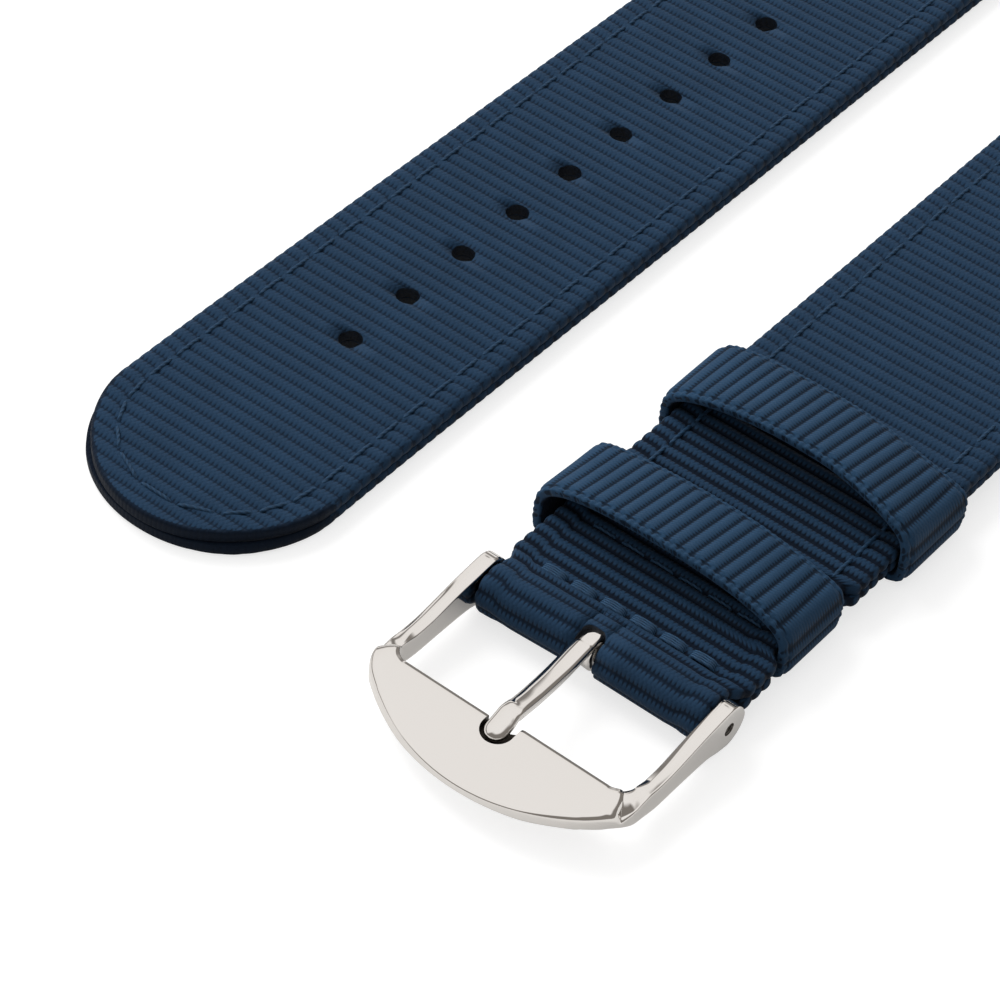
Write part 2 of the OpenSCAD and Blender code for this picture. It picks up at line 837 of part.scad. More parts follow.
// Stitches on an arc of radius r about (x, y), from one angle to another, pressed flush underneath
module seam_round(x, y, r, from, to) {
    n = round(PI*r*(to - from)/180/stitch_len);
    step = (to - from)/n;
    for (i = [0:n - 1])
        translate([x, y, 0])
            rotate([0, 0, from + step*i])
                translate([r, 0, 0])
                    rotate([0, 0, step/2])
                        seam_along(1, 2*r*sin(step/2), 0);
}

// Edge seam of the tail half: up one side, round the tip and down the other, pressed flush underneath
module tail_edge_seam() {
    n = floor((tail_len - tip_round - lug_fold - seam_end)/stitch_len);
    color(navy_thread)
        place(tail_x, tip_y, tail_mid) {
            for (side = [-1, 1])
                translate([side*(half_w - seam_inset), tip_round, 0])
                    seam_along(n, stitch_len, 0);
            seam_round(side_x, tip_round, side_r - seam_inset, 180, 180 + nose_turn);
            seam_round(0, nose_r, nose_r - seam_inset, 180 + nose_turn, 360 - nose_turn);
            seam_round(-side_x, tip_round, side_r - seam_inset, 360 - nose_turn, 360);
        }
}

module tail_lug_seam() {
    color(navy_thread)
        place(tail_x, tail_bar_y - lug_row_y, tail_mid)
            fold_row(0);
}

// Edge seam of the buckle half on one side, from behind the fixed keeper to the lug fold
module head_edge_seam(side) {
    start = neck_end + row_lead;
    n = floor((head_len - start - lug_fold - seam_end)/stitch_len);
    color(navy_thread)
        place(head_x + side*(half_w - seam_inset), buckle_y + start)
            seam_along(n, stitch_len, thread_proud);
}

module head_edge_seam_left() {
    head_edge_seam(-1);
}

module head_edge_seam_right() {
    head_edge_seam(1);
}

module head_lug_seam() {
    color(navy_thread)
        place(head_x, head_bar_y - lug_row_y)
            fold_row(thread_proud);
}

// Row of thick stitches that closes the fold round the buckle bar
module fold_seam() {
    color(navy_thread)
        place(head_x, buckle_y + row_y)
            fold_row(thread_proud);
}

// One of the seams that hold the fixed keeper's lower run to the strap, at y along the keeper
module fixed_keeper_seam(y) {
    color(navy_thread)
        place(head_x, buckle_y + fixed_y + y, 0)
            seam_across(row_count, row_pitch, thread_w, 0, strap_top, thread_proud, 0);
}

module fixed_keeper_seam_front() {
    fixed_keeper_seam(keeper_seam_inset);
}

module fixed_keeper_seam_back() {
    fixed_keeper_seam(keeper_len - keeper_seam_inset);
}

// Seam that closes the free keeper's band into a loop, in its lower run
module free_keeper_seam() {
    color(navy_thread)
        place(head_x, buckle_y + free_y + keeper_seam_inset, 0)
            across(row_thread_w)
                seam_side(keeper_seam_count, (keeper_len - 2*keeper_seam_inset)/keeper_seam_count,
                    0, keeper_t, 0, 0);
}

tail_webbing();
buckle_webbing();
fixed_keeper();
free_keeper();
buckle_frame();
buckle_tongue();
buckle_bar_barrel();
buckle_bar_spring();
buckle_bar_plunger_left();
buckle_bar_plunger_right();
tail_bar_barrel();
tail_bar_spring();
tail_bar_plunger_left();
tail_bar_plunger_right();
head_bar_barrel();
head_bar_spring();
head_bar_plunger_left();
head_bar_plunger_right();
tail_edge_seam();
tail_lug_seam();
head_edge_seam_left();
head_edge_seam_right();
head_lug_seam();
fold_seam();
fixed_keeper_seam_front();
fixed_keeper_seam_back();
free_keeper_seam();
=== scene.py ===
# %% [markdown]
# A two-piece watch strap: ribbed nylon webbing sewn double, a polished steel pin buckle, two keepers
# and three spring bars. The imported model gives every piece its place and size. This script gives the
# pieces their surface: real ribs and stitches in the mesh, yarns and polish in the materials.

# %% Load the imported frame
import math

import bmesh
import bpy
from mathutils import Matrix, Vector, noise


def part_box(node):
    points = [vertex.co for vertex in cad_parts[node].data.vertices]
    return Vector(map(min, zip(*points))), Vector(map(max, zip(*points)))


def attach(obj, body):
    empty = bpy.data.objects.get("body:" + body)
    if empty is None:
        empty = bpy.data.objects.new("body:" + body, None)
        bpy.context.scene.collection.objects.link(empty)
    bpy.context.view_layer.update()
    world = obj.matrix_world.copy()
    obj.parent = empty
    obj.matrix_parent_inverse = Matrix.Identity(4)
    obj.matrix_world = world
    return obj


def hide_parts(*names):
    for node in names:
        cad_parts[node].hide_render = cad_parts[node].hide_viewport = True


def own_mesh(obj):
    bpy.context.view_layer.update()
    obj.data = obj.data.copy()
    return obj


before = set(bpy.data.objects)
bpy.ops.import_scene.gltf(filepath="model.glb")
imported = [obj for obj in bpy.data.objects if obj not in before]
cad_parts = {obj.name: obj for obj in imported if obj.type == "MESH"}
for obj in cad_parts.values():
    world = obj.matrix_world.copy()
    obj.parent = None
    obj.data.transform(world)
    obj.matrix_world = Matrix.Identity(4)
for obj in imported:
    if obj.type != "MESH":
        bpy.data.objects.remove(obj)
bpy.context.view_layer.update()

MM = 0.001

# %% [markdown]
# Everything is placed from the frame. The bars say where the folds are, the webbing's box says how
# wide the strap is, and the keepers' boxes say where the bands sit. Sizes that a box can't tell, such
# as the thickness of one ply, are named here in millimetres.

# %% Places and sizes
def box_mm(node):
    """Lowest and highest corner of a node in millimetres."""
    low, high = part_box(node)
    return low / MM, high / MM


def middle(node):
    low, high = box_mm(node)
    return (low + high) / 2


def turned(radius, angle):
    """The point at an angle on a circle round zero."""
    return radius * Vector((math.cos(angle), math.sin(angle)))


tail_low, tail_high = box_mm("tail_webbing")
TAIL_X = (tail_low.x + tail_high.x) / 2
HALF_W = (tail_high.x - tail_low.x) / 2
TIP_Y = tail_low.y
TAIL_BAR = middle("tail_bar_barrel")
BUCKLE_BAR = middle("buckle_bar_barrel")
HEAD_BAR = middle("head_bar_barrel")
HEAD_X = BUCKLE_BAR.x
barrel_low, barrel_high = box_mm("buckle_bar_barrel")
BARREL_R = (barrel_high.z - barrel_low.z) / 2

PLY = 0.97
PLY_GAP = 0.06
PLY_MID = (PLY + PLY_GAP) / 2
BAR_PLAY = 0.06
LOOP_MID = BARREL_R + BAR_PLAY + PLY / 2
TAIL_MID = PLY + PLY_GAP / 2
HEAD_MID = BUCKLE_BAR.z
STRAP_TOP = HEAD_MID + TAIL_MID
print("half width", round(HALF_W, 2), "strap top", round(STRAP_TOP, 2), "bars at y",
      [round(b.y, 2) for b in (TAIL_BAR, BUCKLE_BAR, HEAD_BAR)])

# %% [markdown]
# Colours are written as sRGB hex values, as a picture editor shows them. Blender's shaders want
# linear light, so one function turns them over. A second small function adds any shader node with
# its settings and links, which keeps the materials readable.

# %% Colour and node helpers
def colour(hex_text):
    """An sRGB hex colour as linear RGBA."""
    parts = [int(hex_text[i:i + 2], 16) / 255 for i in (1, 3, 5)]
    return [p / 12.92 if p <= 0.04045 else ((p + 0.055) / 1.055) ** 2.4 for p in parts] + [1.0]


def add(tree, kind, inputs=None, **settings):
    """Adds a shader node. inputs maps a socket to a value, to a node or to a node's output."""
    made = tree.nodes.new("ShaderNode" + kind)
    for name, value in settings.items():
        setattr(made, name, value)
    for key, value in (inputs or {}).items():
        if isinstance(value, bpy.types.Node):
            value = value.outputs[0]
        if isinstance(value, bpy.types.NodeSocket):
            tree.links.new(value, made.inputs[key])
        else:
            made.inputs[key].default_value = value
    return made


def new_material(name):
    """An empty material and its node tree with only an output."""
    material = bpy.data.materials.new(name)
    material.use_nodes = True
    tree = material.node_tree
    tree.nodes.clear()
    return material, tree


def finish_surface(tree, shader):
    tree.links.new(shader.outputs[0], add(tree, "OutputMaterial").inputs["Surface"])


# %% [markdown]
# Nylon webbing of this kind is woven with a thick weft under a close warp, so it shows bold ribs
# across the tape with a fine dark dot between every two warp yarns in each groove. The ribs
# themselves are in the mesh. The groove colour is painted shade: it darkens the bottom of every
# groove and climbs the rib's sides at each dot. The material reads the tape's own UV map, in
# millimetres across and along, so that the dots stay in the grooves on every fold. Where the tape
# was bent or rubbed the yarns stand open and the dots grow to ticks, which an attribute of the mesh
# says. A second attribute adds more painted shade where a place lies in shade. It is dyed navy.

# %% Webbing material
RIB_PITCH = 1.13
YARN_PITCH = 0.37


def ripple(tree, value, pitch):
    """0 at every multiple of pitch and 1 half way between, as a sine's absolute value."""
    turn = add(tree, "Math", {0: value, 1: math.pi / pitch}, operation="MULTIPLY")
    return add(tree, "Math", {0: add(tree, "Math", {0: turn}, operation="SINE")}, operation="ABSOLUTE")


def ribbed_nylon(name, rib_pitch, yarn_pitch, reach, rib_hex, groove_shade_hex):
    """Woven nylon tape whose groove colour is painted shade. reach says how far the painted dark
    climbs a rib's side, from 0 to 1: between two dots and at a dot, and the same where the yarns
    stand open."""
    material, tree = new_material(name)
    place = add(tree, "SeparateXYZ", {0: add(tree, "UVMap", uv_map="weave")})
    across, along = place.outputs[0], place.outputs[1]
    rib = ripple(tree, along, rib_pitch)
    row = add(tree, "Math", {0: along, 1: 1 / rib_pitch, 2: 0.5}, operation="MULTIPLY_ADD")
    odd = add(tree, "Math", {0: add(tree, "Math", {0: row}, operation="FLOOR"), 1: 2.0},
              operation="FLOORED_MODULO")
    yarn_at = add(tree, "Math", {0: odd, 1: yarn_pitch / 2, 2: across}, operation="MULTIPLY_ADD")
    yarn = ripple(tree, yarn_at, yarn_pitch)
    dot = add(tree, "MapRange", {0: yarn, 1: 0.3, 2: 0.8, 3: 1.0, 4: 0.0},
              interpolation_type="SMOOTHSTEP")
    opened = add(tree, "Attribute", attribute_name="opened").outputs["Fac"]
    painted_shade = add(tree, "Attribute", attribute_name="painted_shade").outputs["Fac"]
    beside_dot = add(tree, "MapRange", {0: opened, 3: reach[0], 4: reach[2]})
    at_dot = add(tree, "MapRange", {0: opened, 3: reach[1], 4: reach[3]})
    climb = add(tree, "MapRange", {0: dot, 3: beside_dot, 4: at_dot})
    # The painted shade attribute lets the painted groove dark climb further.
    climb = add(tree, "Math", {0: climb, 1: painted_shade}, operation="ADD")
    low = add(tree, "Math", {0: climb, 1: 0.22}, operation="SUBTRACT")
    high = add(tree, "Math", {0: climb, 1: 0.22}, operation="ADD")
    depth = add(tree, "MapRange", {0: opened, 3: 0.72, 4: 1.0})
    dark = add(tree, "MapRange", {0: rib, 1: low, 2: high, 3: depth, 4: 0.0},
               interpolation_type="SMOOTHSTEP")
    where = add(tree, "TexCoord").outputs["Object"]
    blotch = add(tree, "TexNoise", {"Vector": where, "Scale": 330.0, "Detail": 4.0})
    fibre = add(tree, "TexNoise", {"Vector": where, "Scale": 9000.0, "Detail": 2.0})
    lively = add(tree, "MapRange", {0: blotch, 1: 0.3, 2: 0.7, 3: 0.92, 4: 1.08})
    streak = add(tree, "MapRange", {0: yarn, 3: 0.9, 4: 1.05})
    lively = add(tree, "Math", {0: lively, 1: streak}, operation="MULTIPLY")
    # Painted shade: the groove colour darkens the bottom of each groove and climbs the ribs at the dots.
    dyed = add(tree, "Mix", {0: dark, 6: colour(rib_hex), 7: colour(groove_shade_hex)}, data_type="RGBA")
    dyed = add(tree, "HueSaturation", {"Color": dyed.outputs[2], "Value": lively})
    relief = add(tree, "Math", {0: yarn, 1: 0.5, 2: rib}, operation="MULTIPLY_ADD")
    relief = add(tree, "Math", {0: fibre, 1: 0.4, 2: relief}, operation="MULTIPLY_ADD")
    bump = add(tree, "Bump", {"Strength": 0.6, "Distance": 0.00006, "Height": relief})
    shader = add(tree, "BsdfPrincipled", {
        "Base Color": dyed, "Roughness": 0.65, "Specular IOR Level": 0.1,
        "Sheen Weight": 0.03, "Sheen Roughness": 0.5, "Normal": bump})
    finish_surface(tree, shader)
    return material


# The second colour is the painted shade of the grooves.
webbing_nylon = ribbed_nylon("woven_navy_nylon", RIB_PITCH, YARN_PITCH, (0.14, 0.66, 0.5, 0.85),
                             "#1d354d", "#081423")

# %% [markdown]
# Where the tape was punched, slotted or cut round at the tip, a hot tool melted the yarn ends
# together. That leaves a darker, slightly glossy and uneven wall, so the walls of the holes and the
# slot get a material of their own. Its near-black colour is partly that melt and partly painted
# shade of walls that lie deep in holes and slots. The tip's cut wall is darkened within the
# webbing's material.

# %% Melted nylon of the cut walls, with painted shade
def melt_and_shade_nylon():
    material, tree = new_material("melted_and_shaded_nylon_edge")
    where = add(tree, "TexCoord").outputs["Object"]
    grain = add(tree, "TexNoise", {"Vector": where, "Scale": 5200.0, "Detail": 4.0, "Roughness": 0.7})
    # Near-black: partly the melted cut, partly painted shade of walls deep in holes and slot.
    shade = add(tree, "ValToRGB", {0: grain})
    shade.color_ramp.elements[0].position = 0.35
    shade.color_ramp.elements[0].color = colour("#04080f")
    shade.color_ramp.elements[1].position = 0.75
    shade.color_ramp.elements[1].color = colour("#16263a")
    bump = add(tree, "Bump", {"Strength": 0.8, "Distance": 0.00008, "Height": grain})
    shader = add(tree, "BsdfPrincipled", {
        "Base Color": shade, "Roughness": 0.55, "Specular IOR Level": 0.4, "Normal": bump})
    finish_surface(tree, shader)
    return material


melt_and_shade_edge = melt_and_shade_nylon()

# %% [markdown]
# A sewing thread is two or three strands twisted together. At this size the twist shows only as
# faint slanted bands, which the material draws from the stitch's own UV map. Polyester thread is a
# little lighter and shinier than the webbing that it lies on, and the thick one lightest.

# %% Thread material
def twisted_thread(name, hex_text, lay):
    """Twisted thread: lay is the length of one twist in millimetres."""
    material, tree = new_material(name)
    place = add(tree, "SeparateXYZ", {0: add(tree, "UVMap", uv_map="weave")})
    round_it = add(tree, "Math", {0: place.outputs[0], 1: 4 * math.pi}, operation="MULTIPLY")
    turn = add(tree, "Math", {0: place.outputs[1], 1: 2 * math.pi / lay, 2: round_it},
               operation="MULTIPLY_ADD")
    wave = add(tree, "Math", {0: turn}, operation="SINE")
    light = add(tree, "MapRange", {0: wave, 1: -1.0, 2: 1.0, 3: 0.72, 4: 1.1})
    dyed = add(tree, "HueSaturation", {"Color": colour(hex_text), "Value": light})
    bump = add(tree, "Bump", {"Strength": 0.5, "Distance": 0.00004, "Height": wave})
    shader = add(tree, "BsdfPrincipled", {
        "Base Color": dyed, "Roughness": 0.55, "Specular IOR Level": 0.2, "Normal": bump})
    finish_surface(tree, shader)
    return material


seam_thread = twisted_thread("navy_polyester_thread", "#223d57", 0.5)
thick_thread = twisted_thread("thick_navy_polyester_thread", "#314d69", 0.7)

# %% [markdown]
# The buckle is cast or stamped stainless steel, ground and then polished on a buffing wheel. Polish
# leaves the metal almost a mirror, with very fine hairlines and a slight orange-peel waviness. The
# bars are turned on a lathe and stay a little duller, and the spring is drawn wire. A dark, dull
# steel paints the shade on the bars' tips deep in the ears and on the wall of the tongue's rest.

# %% Steel materials
def steel(name, hex_text, roughness, hairline, hairline_scale):
    """Stainless steel: hairline is how strong the fine scratches are."""
    material, tree = new_material(name)
    where = add(tree, "TexCoord").outputs["Object"]
    drawn = add(tree, "Mapping", {"Vector": where, "Scale": (1.0, 0.08, 1.0)})
    scratch = add(tree, "TexNoise", {"Vector": drawn, "Scale": hairline_scale, "Detail": 3.0})
    smear = add(tree, "TexNoise", {"Vector": where, "Scale": 320.0, "Detail": 2.0})
    rough = add(tree, "MapRange", {0: smear, 1: 0.3, 2: 0.7, 3: roughness * 0.8, 4: roughness * 1.3})
    bump = add(tree, "Bump", {"Strength": hairline, "Distance": 0.00002, "Height": scratch})
    shader = add(tree, "BsdfPrincipled", {
        "Base Color": colour(hex_text), "Metallic": 1.0, "Roughness": rough, "Normal": bump})
    finish_surface(tree, shader)
    return material


polished_steel = steel("polished_stainless_steel", "#e8e5e2", 0.07, 0.015, 9000.0)
turned_steel = steel("turned_stainless_steel", "#b9b6b2", 0.28, 0.2, 6000.0)
# Painted shade: dark steel for the bar tips deep in the ear holes and for the rest's wall.
shade_painted_steel = steel("shade_painted_stainless_steel", "#3b3733", 0.4, 0.2, 6000.0)
spring_wire = steel("drawn_spring_wire", "#9a9da1", 0.3, 0.15, 8000.0)

# %% [markdown]
# Most pieces here are a strip with a thickness that follows a line: both halves of the strap and
# the keepers. So one function makes them all. It starts from a flat grid, which brings its own UV
# map, and rolls it up: the first half of the columns becomes the outer face, the second half the
# inner face, and each row is one station along the line. Only the rule that places a corner differs
# from piece to piece. Two attributes go with the corners: how far the yarns stand open, and how
# much painted shade there is, which lets the dark of the grooves reach further than elsewhere.

# %% The strip maker
SAME_PLACE = 2e-8


def put(name, data):
    """An object in the scene with this data."""
    made = bpy.data.objects.new(name, data)
    bpy.context.scene.collection.objects.link(made)
    return made


def make_object(name, bm):
    """An object in the scene from a finished bmesh."""
    bmesh.ops.recalc_face_normals(bm, faces=bm.faces)
    mesh = bpy.data.meshes.new(name)
    bm.to_mesh(mesh)
    bm.free()
    print(name, "has", len(mesh.polygons), "faces")
    return put(name, mesh)


def close_up(bm, near):
    """Joins corners that lie at one place and closes the open ends."""
    bmesh.ops.remove_doubles(bm, verts=bm.verts, dist=near)
    rims = [e for e in bm.edges if e.is_boundary]
    if rims:
        bmesh.ops.holes_fill(bm, edges=rims, sides=0)


def rolled_strip(name, columns, rows, place, uv_of, marks):
    """A closed tube rolled up from a grid.

    columns is how many steps one face has, rows how many steps the line has. place(i, face, j) gives
    a corner's point in millimetres, uv_of(i, face, j) its UV and marks(i, face, j) its two attributes,
    i running across and j along."""
    bm = bmesh.new()
    weave = bm.loops.layers.uv.new("weave")
    opened = bm.verts.layers.float.new("opened")
    painted_shade = bm.verts.layers.float.new("painted_shade")
    ring = 2 * columns
    bmesh.ops.create_grid(bm, x_segments=ring, y_segments=rows, size=0.5, calc_uvs=True)

    def across_and_face(k):
        return (k, 1) if k <= columns else (ring - k, -1)

    spots = {}
    for corner in bm.verts:
        k = round((corner.co.x + 0.5) * ring)
        j = round((corner.co.y + 0.5) * rows)
        spots[corner.index] = (k, j)
    for patch in bm.faces:
        patch.smooth = True
        inner = all(spots[v.index][0] >= columns for v in patch.verts)
        for loop in patch.loops:
            k, j = spots[loop.vert.index]
            i, face = across_and_face(k)
            loop[weave].uv = uv_of(i, -1 if inner else 1, j)
    for corner in bm.verts:
        k, j = spots[corner.index]
        i, face = across_and_face(k)
        corner.co = Vector(place(i, face, j)) * MM
        corner[opened], corner[painted_shade] = marks(i, face, j)
    close_up(bm, SAME_PLACE)
    return make_object(name, bm)


def hand_over(piece, body, slot, *nodes):
    """Gives a piece its body and puts it in the place of CAD nodes. slot is not used."""
    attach(piece, body)
    if nodes:
        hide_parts(*nodes)


# %% [markdown]
# Seen from the side, each half is one line: flat, round a bar, and flat again. A tape can't bend
# sharply, so the line is drawn with straight runs and an arc, cut into even steps and then eased by
# averaging neighbours, as a real fold eases.

# %% Lines seen from the side
def round_bar(before, bar, radius, after):
    """Points clockwise round a bar, from one point to another, all as (y, z)."""
    come, leave = before - bar, after - bar
    start = math.atan2(come.y, come.x) - math.acos(radius / come.length)
    end = math.atan2(leave.y, leave.x) + math.acos(radius / leave.length)
    while end > start:
        end -= 2 * math.pi
    steps = 40
    return [bar + turned(radius, start + (end - start) * k / steps) for k in range(steps + 1)]


def split_line(points, count):
    """The same line with count even steps."""
    lengths = [0.0]
    for a, b in zip(points, points[1:]):
        lengths.append(lengths[-1] + (b - a).length)
    made, k = [], 0
    for n in range(count + 1):
        want = lengths[-1] * n / count
        while k < len(points) - 2 and lengths[k + 1] < want:
            k += 1
        part = (want - lengths[k]) / max(lengths[k + 1] - lengths[k], 1e-9)
        made.append(points[k].lerp(points[k + 1], part))
    return made


def line_length(points):
    return sum((b - a).length for a, b in zip(points, points[1:]))


class SideLine:
    """A line in the side view that gives a point and its outward direction at any length."""

    def __init__(self, points, easing=14, step=0.1):
        line = split_line(points, round(line_length(points) / step))
        for _ in range(easing):
            line = [line[0]] + [(a + 2 * b + c) / 4 for a, b, c in zip(line, line[1:], line[2:])] \
                + [line[-1]]
        self.line = line
        self.step = line_length(line) / (len(line) - 1)
        self.length = self.step * (len(line) - 1)

    def at(self, s):
        """Point and outward normal at length s, as (y, z) pairs."""
        k = min(max(s / self.step, 0.0), len(self.line) - 1.000001)
        i = int(k)
        a, b = self.line[i], self.line[i + 1]
        before = self.line[max(i - 1, 0)]
        later = self.line[min(i + 2, len(self.line) - 1)]
        way = (b - before).normalized().lerp((later - a).normalized(), k - i).normalized()
        return a.lerp(b, k - i), Vector((-way.y, way.x))


# %% [markdown]
# The tail half's line starts at the tip on top, goes round the spring bar in its lug fold and comes
# back below. The buckle half's line starts under the fixed keeper, goes forward below, round the
# buckle's bar, back on top, round the lug's bar, and ends where it started, butt to butt.

# %% The side lines of the two halves
def flat_side(y, z):
    return Vector((y, z))


TAIL_REACH = 4.5
tail_bar_side = flat_side(TAIL_BAR.y, TAIL_BAR.z)
tail_above = flat_side(TAIL_BAR.y - TAIL_REACH, TAIL_MID + PLY_MID)
tail_below = flat_side(TAIL_BAR.y - TAIL_REACH, TAIL_MID - PLY_MID)
tail_line = SideLine([flat_side(TIP_Y, TAIL_MID + PLY_MID)]
                     + [tail_above] + round_bar(tail_above, tail_bar_side, LOOP_MID, tail_below)
                     + [tail_below, flat_side(TIP_Y, TAIL_MID - PLY_MID)])

FOLD_REACH = 2.9
LUG_REACH = 4.5
BUTT_HALF = 0.2
keeper_low, keeper_high = box_mm("fixed_keeper")
BUTT_Y = (keeper_low.y + keeper_high.y) / 2
upper, lower = HEAD_MID + PLY_MID, HEAD_MID - PLY_MID
buckle_side = flat_side(BUCKLE_BAR.y, BUCKLE_BAR.z)
head_side = flat_side(HEAD_BAR.y, HEAD_BAR.z)
fold_in = flat_side(BUCKLE_BAR.y + FOLD_REACH, lower)
fold_out = flat_side(BUCKLE_BAR.y + FOLD_REACH, upper)
lug_in = flat_side(HEAD_BAR.y - LUG_REACH, upper)
lug_out = flat_side(HEAD_BAR.y - LUG_REACH, lower)
head_line = SideLine([flat_side(BUTT_Y - BUTT_HALF, lower), fold_in]
                     + round_bar(fold_in, buckle_side, LOOP_MID, fold_out)
                     + [fold_out, lug_in] + round_bar(lug_in, head_side, LOOP_MID, lug_out)
                     + [lug_out, flat_side(BUTT_Y + BUTT_HALF, lower)])
print("tape in the tail half", round(tail_line.length, 1), "mm, in the buckle half",
      round(head_line.length, 1), "mm")

# %% [markdown]
# The relief of the weave. Each rib is a rounded bar with a narrow groove beside it, so the surface
# follows a sine's absolute value, flattened on top, and every rib gets the same few rows of the
# mesh. The tape's edges, its selvedges, are thinner and rounded, and the ribs end there in small
# bumps. A little waviness keeps the ribs from looking ruled, and outside the edge seam, which pulls
# on the tape, they are shifted a little.

# %% Relief of the weave
RIB_DEPTH = 0.14
ROWS_PER_RIB = 7
TOP_SELVEDGE, TOP_CUT = (0.55, 2.0), (0.7, 3.5)
UNDER_SELVEDGE, UNDER_CUT = (0.3, 3.0), (0.1, 6.0)
SCALLOP = 0.05
WAVE = 0.09
OUTSIDE_SHIFT = 0.26
SEAM_DIP, SEAM_DIP_WIDTH = 0.06, 0.4
SEAM_INSET = 2.0
STRAY_RISE = 3
EDGE_STEPS = [0.0, 0.05, 0.2, 0.5, 1.0, 1.55, 2.0, 2.45, 3.2, 5.0, 7.5]
COLUMNS = [e / HALF_W - 1 for e in EDGE_STEPS] + [0.0] + [1 - e / HALF_W for e in reversed(EDGE_STEPS)]


def ease(a, b, value):
    """0 before a, 1 past b, smooth between."""
    t = min(max((value - a) / (b - a), 0.0), 1.0)
    return t * t * (3 - 2 * t)


def stray(x, s, e):
    """How far a rib strays along the tape at x, in millimetres, e being the distance from the edge."""
    wave = noise.noise(Vector((x * 0.11, s * 0.05, 3.0)))
    return WAVE * wave + OUTSIDE_SHIFT * ease(SEAM_INSET + 0.05, SEAM_INSET - 0.5, e)


def rib_height(v, pitch):
    """1 on top of a rib and 0 in a groove."""
    return abs(math.sin(math.pi * v / pitch)) ** 0.7


def edge_fall(e, width, power):
    """Share of the thickness left at distance e from an edge that rounds off over width."""
    if e >= width:
        return 1.0
    return max(0.0, 1 - (1 - max(e, 0.0) / width) ** power) ** (1 / power)


def seam_dip(e):
    """How far the edge seam pulls the surface in."""
    return SEAM_DIP * math.exp(-((e - SEAM_INSET) / SEAM_DIP_WIDTH) ** 2)


def woven_corner(line, pitch, s, x, e, face, open_at, cut=0.0):
    """A corner's place in the side view and how far its groove draws the edge in, cut being the
    share of cut edge rather than selvedge."""
    from_end = min(s, line.length - s)
    centre, out = line.at(s + stray(x, s, e) * min(1.0, from_end / STRAY_RISE))
    groove = 1 - rib_height(s, pitch)
    opened = open_at(centre.x)
    selvedge, wall = (TOP_SELVEDGE, TOP_CUT) if face > 0 else (UNDER_SELVEDGE, UNDER_CUT)
    fall = edge_fall(e, *selvedge) * (1 - cut) + edge_fall(e, *wall) * cut
    low = groove * RIB_DEPTH * (1 + opened) * min(1.0, e / 0.4) if face > 0 else 0.0
    point = centre + out * face * (PLY / 2 - low - seam_dip(e)) * fall
    return point, (1 - cut) * SCALLOP * (1 + 2 * opened) * groove * ease(1.0, 0.0, e)


def even_ribs(line, close):
    """Stations for whole ribs along a line, and their pitch, with extra ones in the first and last rib."""
    count = round(line.length / RIB_PITCH)
    pitch = line.length / count
    near = [pitch * (k / close) ** 2 for k in range(close)] if close else []
    first = 1 if close else 0
    plain = [pitch * (first + k / ROWS_PER_RIB) for k in range((count - 2 * first) * ROWS_PER_RIB + 1)]
    return near + plain + [line.length - s for s in reversed(near)], pitch


# %% [markdown]
# The tail half. The tip was cut round after sewing, so its outline is an arc on the nose that runs
# into a flatter arc on each side. The cut leaves an upright wall, and only the upper ply's top rolls
# over towards it. The strip took a slight bend to one side at the tip.

# %% Tail half
TIP_ROUND = 10.3
NOSE_R = 0.97 * HALF_W
SIDE_R = (HALF_W ** 2 + TIP_ROUND ** 2 - 2 * NOSE_R * TIP_ROUND) / (2 * (HALF_W - NOSE_R))
SIDE_X = SIDE_R - HALF_W
NOSE_TURN = math.atan2(TIP_ROUND - NOSE_R, SIDE_X)
NOSE_END = TIP_ROUND - SIDE_R * math.sin(NOSE_TURN)
FIRST_HOLE = 23.3
TIP_BEND = 0.35
TIP_WALL = 0.35


def tail_bend(y):
    """How far the tail half bends to the right at y."""
    return TIP_BEND * (max(0.0, TIP_Y + FIRST_HOLE - y) / FIRST_HOLE) ** 2


def tip_half_width(d):
    """Half width of the tail at a distance d from the tip."""
    if d >= TIP_ROUND:
        return HALF_W
    if d <= NOSE_END:
        return math.sqrt(max(0.0, NOSE_R ** 2 - (NOSE_R - d) ** 2))
    return math.sqrt(SIDE_R ** 2 - (TIP_ROUND - d) ** 2) - SIDE_X


def tip_edge(x, d):
    """Distance from the tip's outline, and how much of it is cut edge rather than selvedge."""
    if d >= TIP_ROUND:
        return HALF_W - abs(x), 0.0
    if d < NOSE_END and abs(x) <= math.tan(math.pi / 2 - NOSE_TURN) * (NOSE_R - d) + 1e-6:
        return NOSE_R - Vector((abs(x), d - NOSE_R)).length, 1.0
    return SIDE_R - Vector((abs(x) + SIDE_X, d - TIP_ROUND)).length, min(1.0, (TIP_ROUND - d) / 2.0)


TAIL_S, tail_pitch = even_ribs(tail_line, 14)


def tail_place(i, face, j):
    s = TAIL_S[j]
    d = min(s, tail_line.length - s)
    x = COLUMNS[i] * tip_half_width(d)
    e, cut = tip_edge(x, d)
    point, scallop = woven_corner(tail_line, tail_pitch, s, x, max(e, 0.0), face, lambda y: 0.0, cut)
    return TAIL_X + x - math.copysign(scallop, x) + tail_bend(point.x), point.x, point.y


def tail_uv(i, face, j):
    s = TAIL_S[j]
    return COLUMNS[i] * tip_half_width(min(s, tail_line.length - s)), s * RIB_PITCH / tail_pitch


def tail_marks(i, face, j):
    """The cut wall of the tip is dark from top to bottom: partly the melted cut, partly painted shade, set
    through both attributes.
    """
    d = min(TAIL_S[j], tail_line.length - TAIL_S[j])
    e, cut = tip_edge(COLUMNS[i] * tip_half_width(d), d)
    wall = cut * ease(TIP_WALL, 0.0, e) if face > 0 else cut
    return wall, 2.0 * wall


tail_half = rolled_strip("tail_strap", len(COLUMNS) - 1, len(TAIL_S) - 1, tail_place, tail_uv,
                         tail_marks)
tail_half.data.materials.append(webbing_nylon)

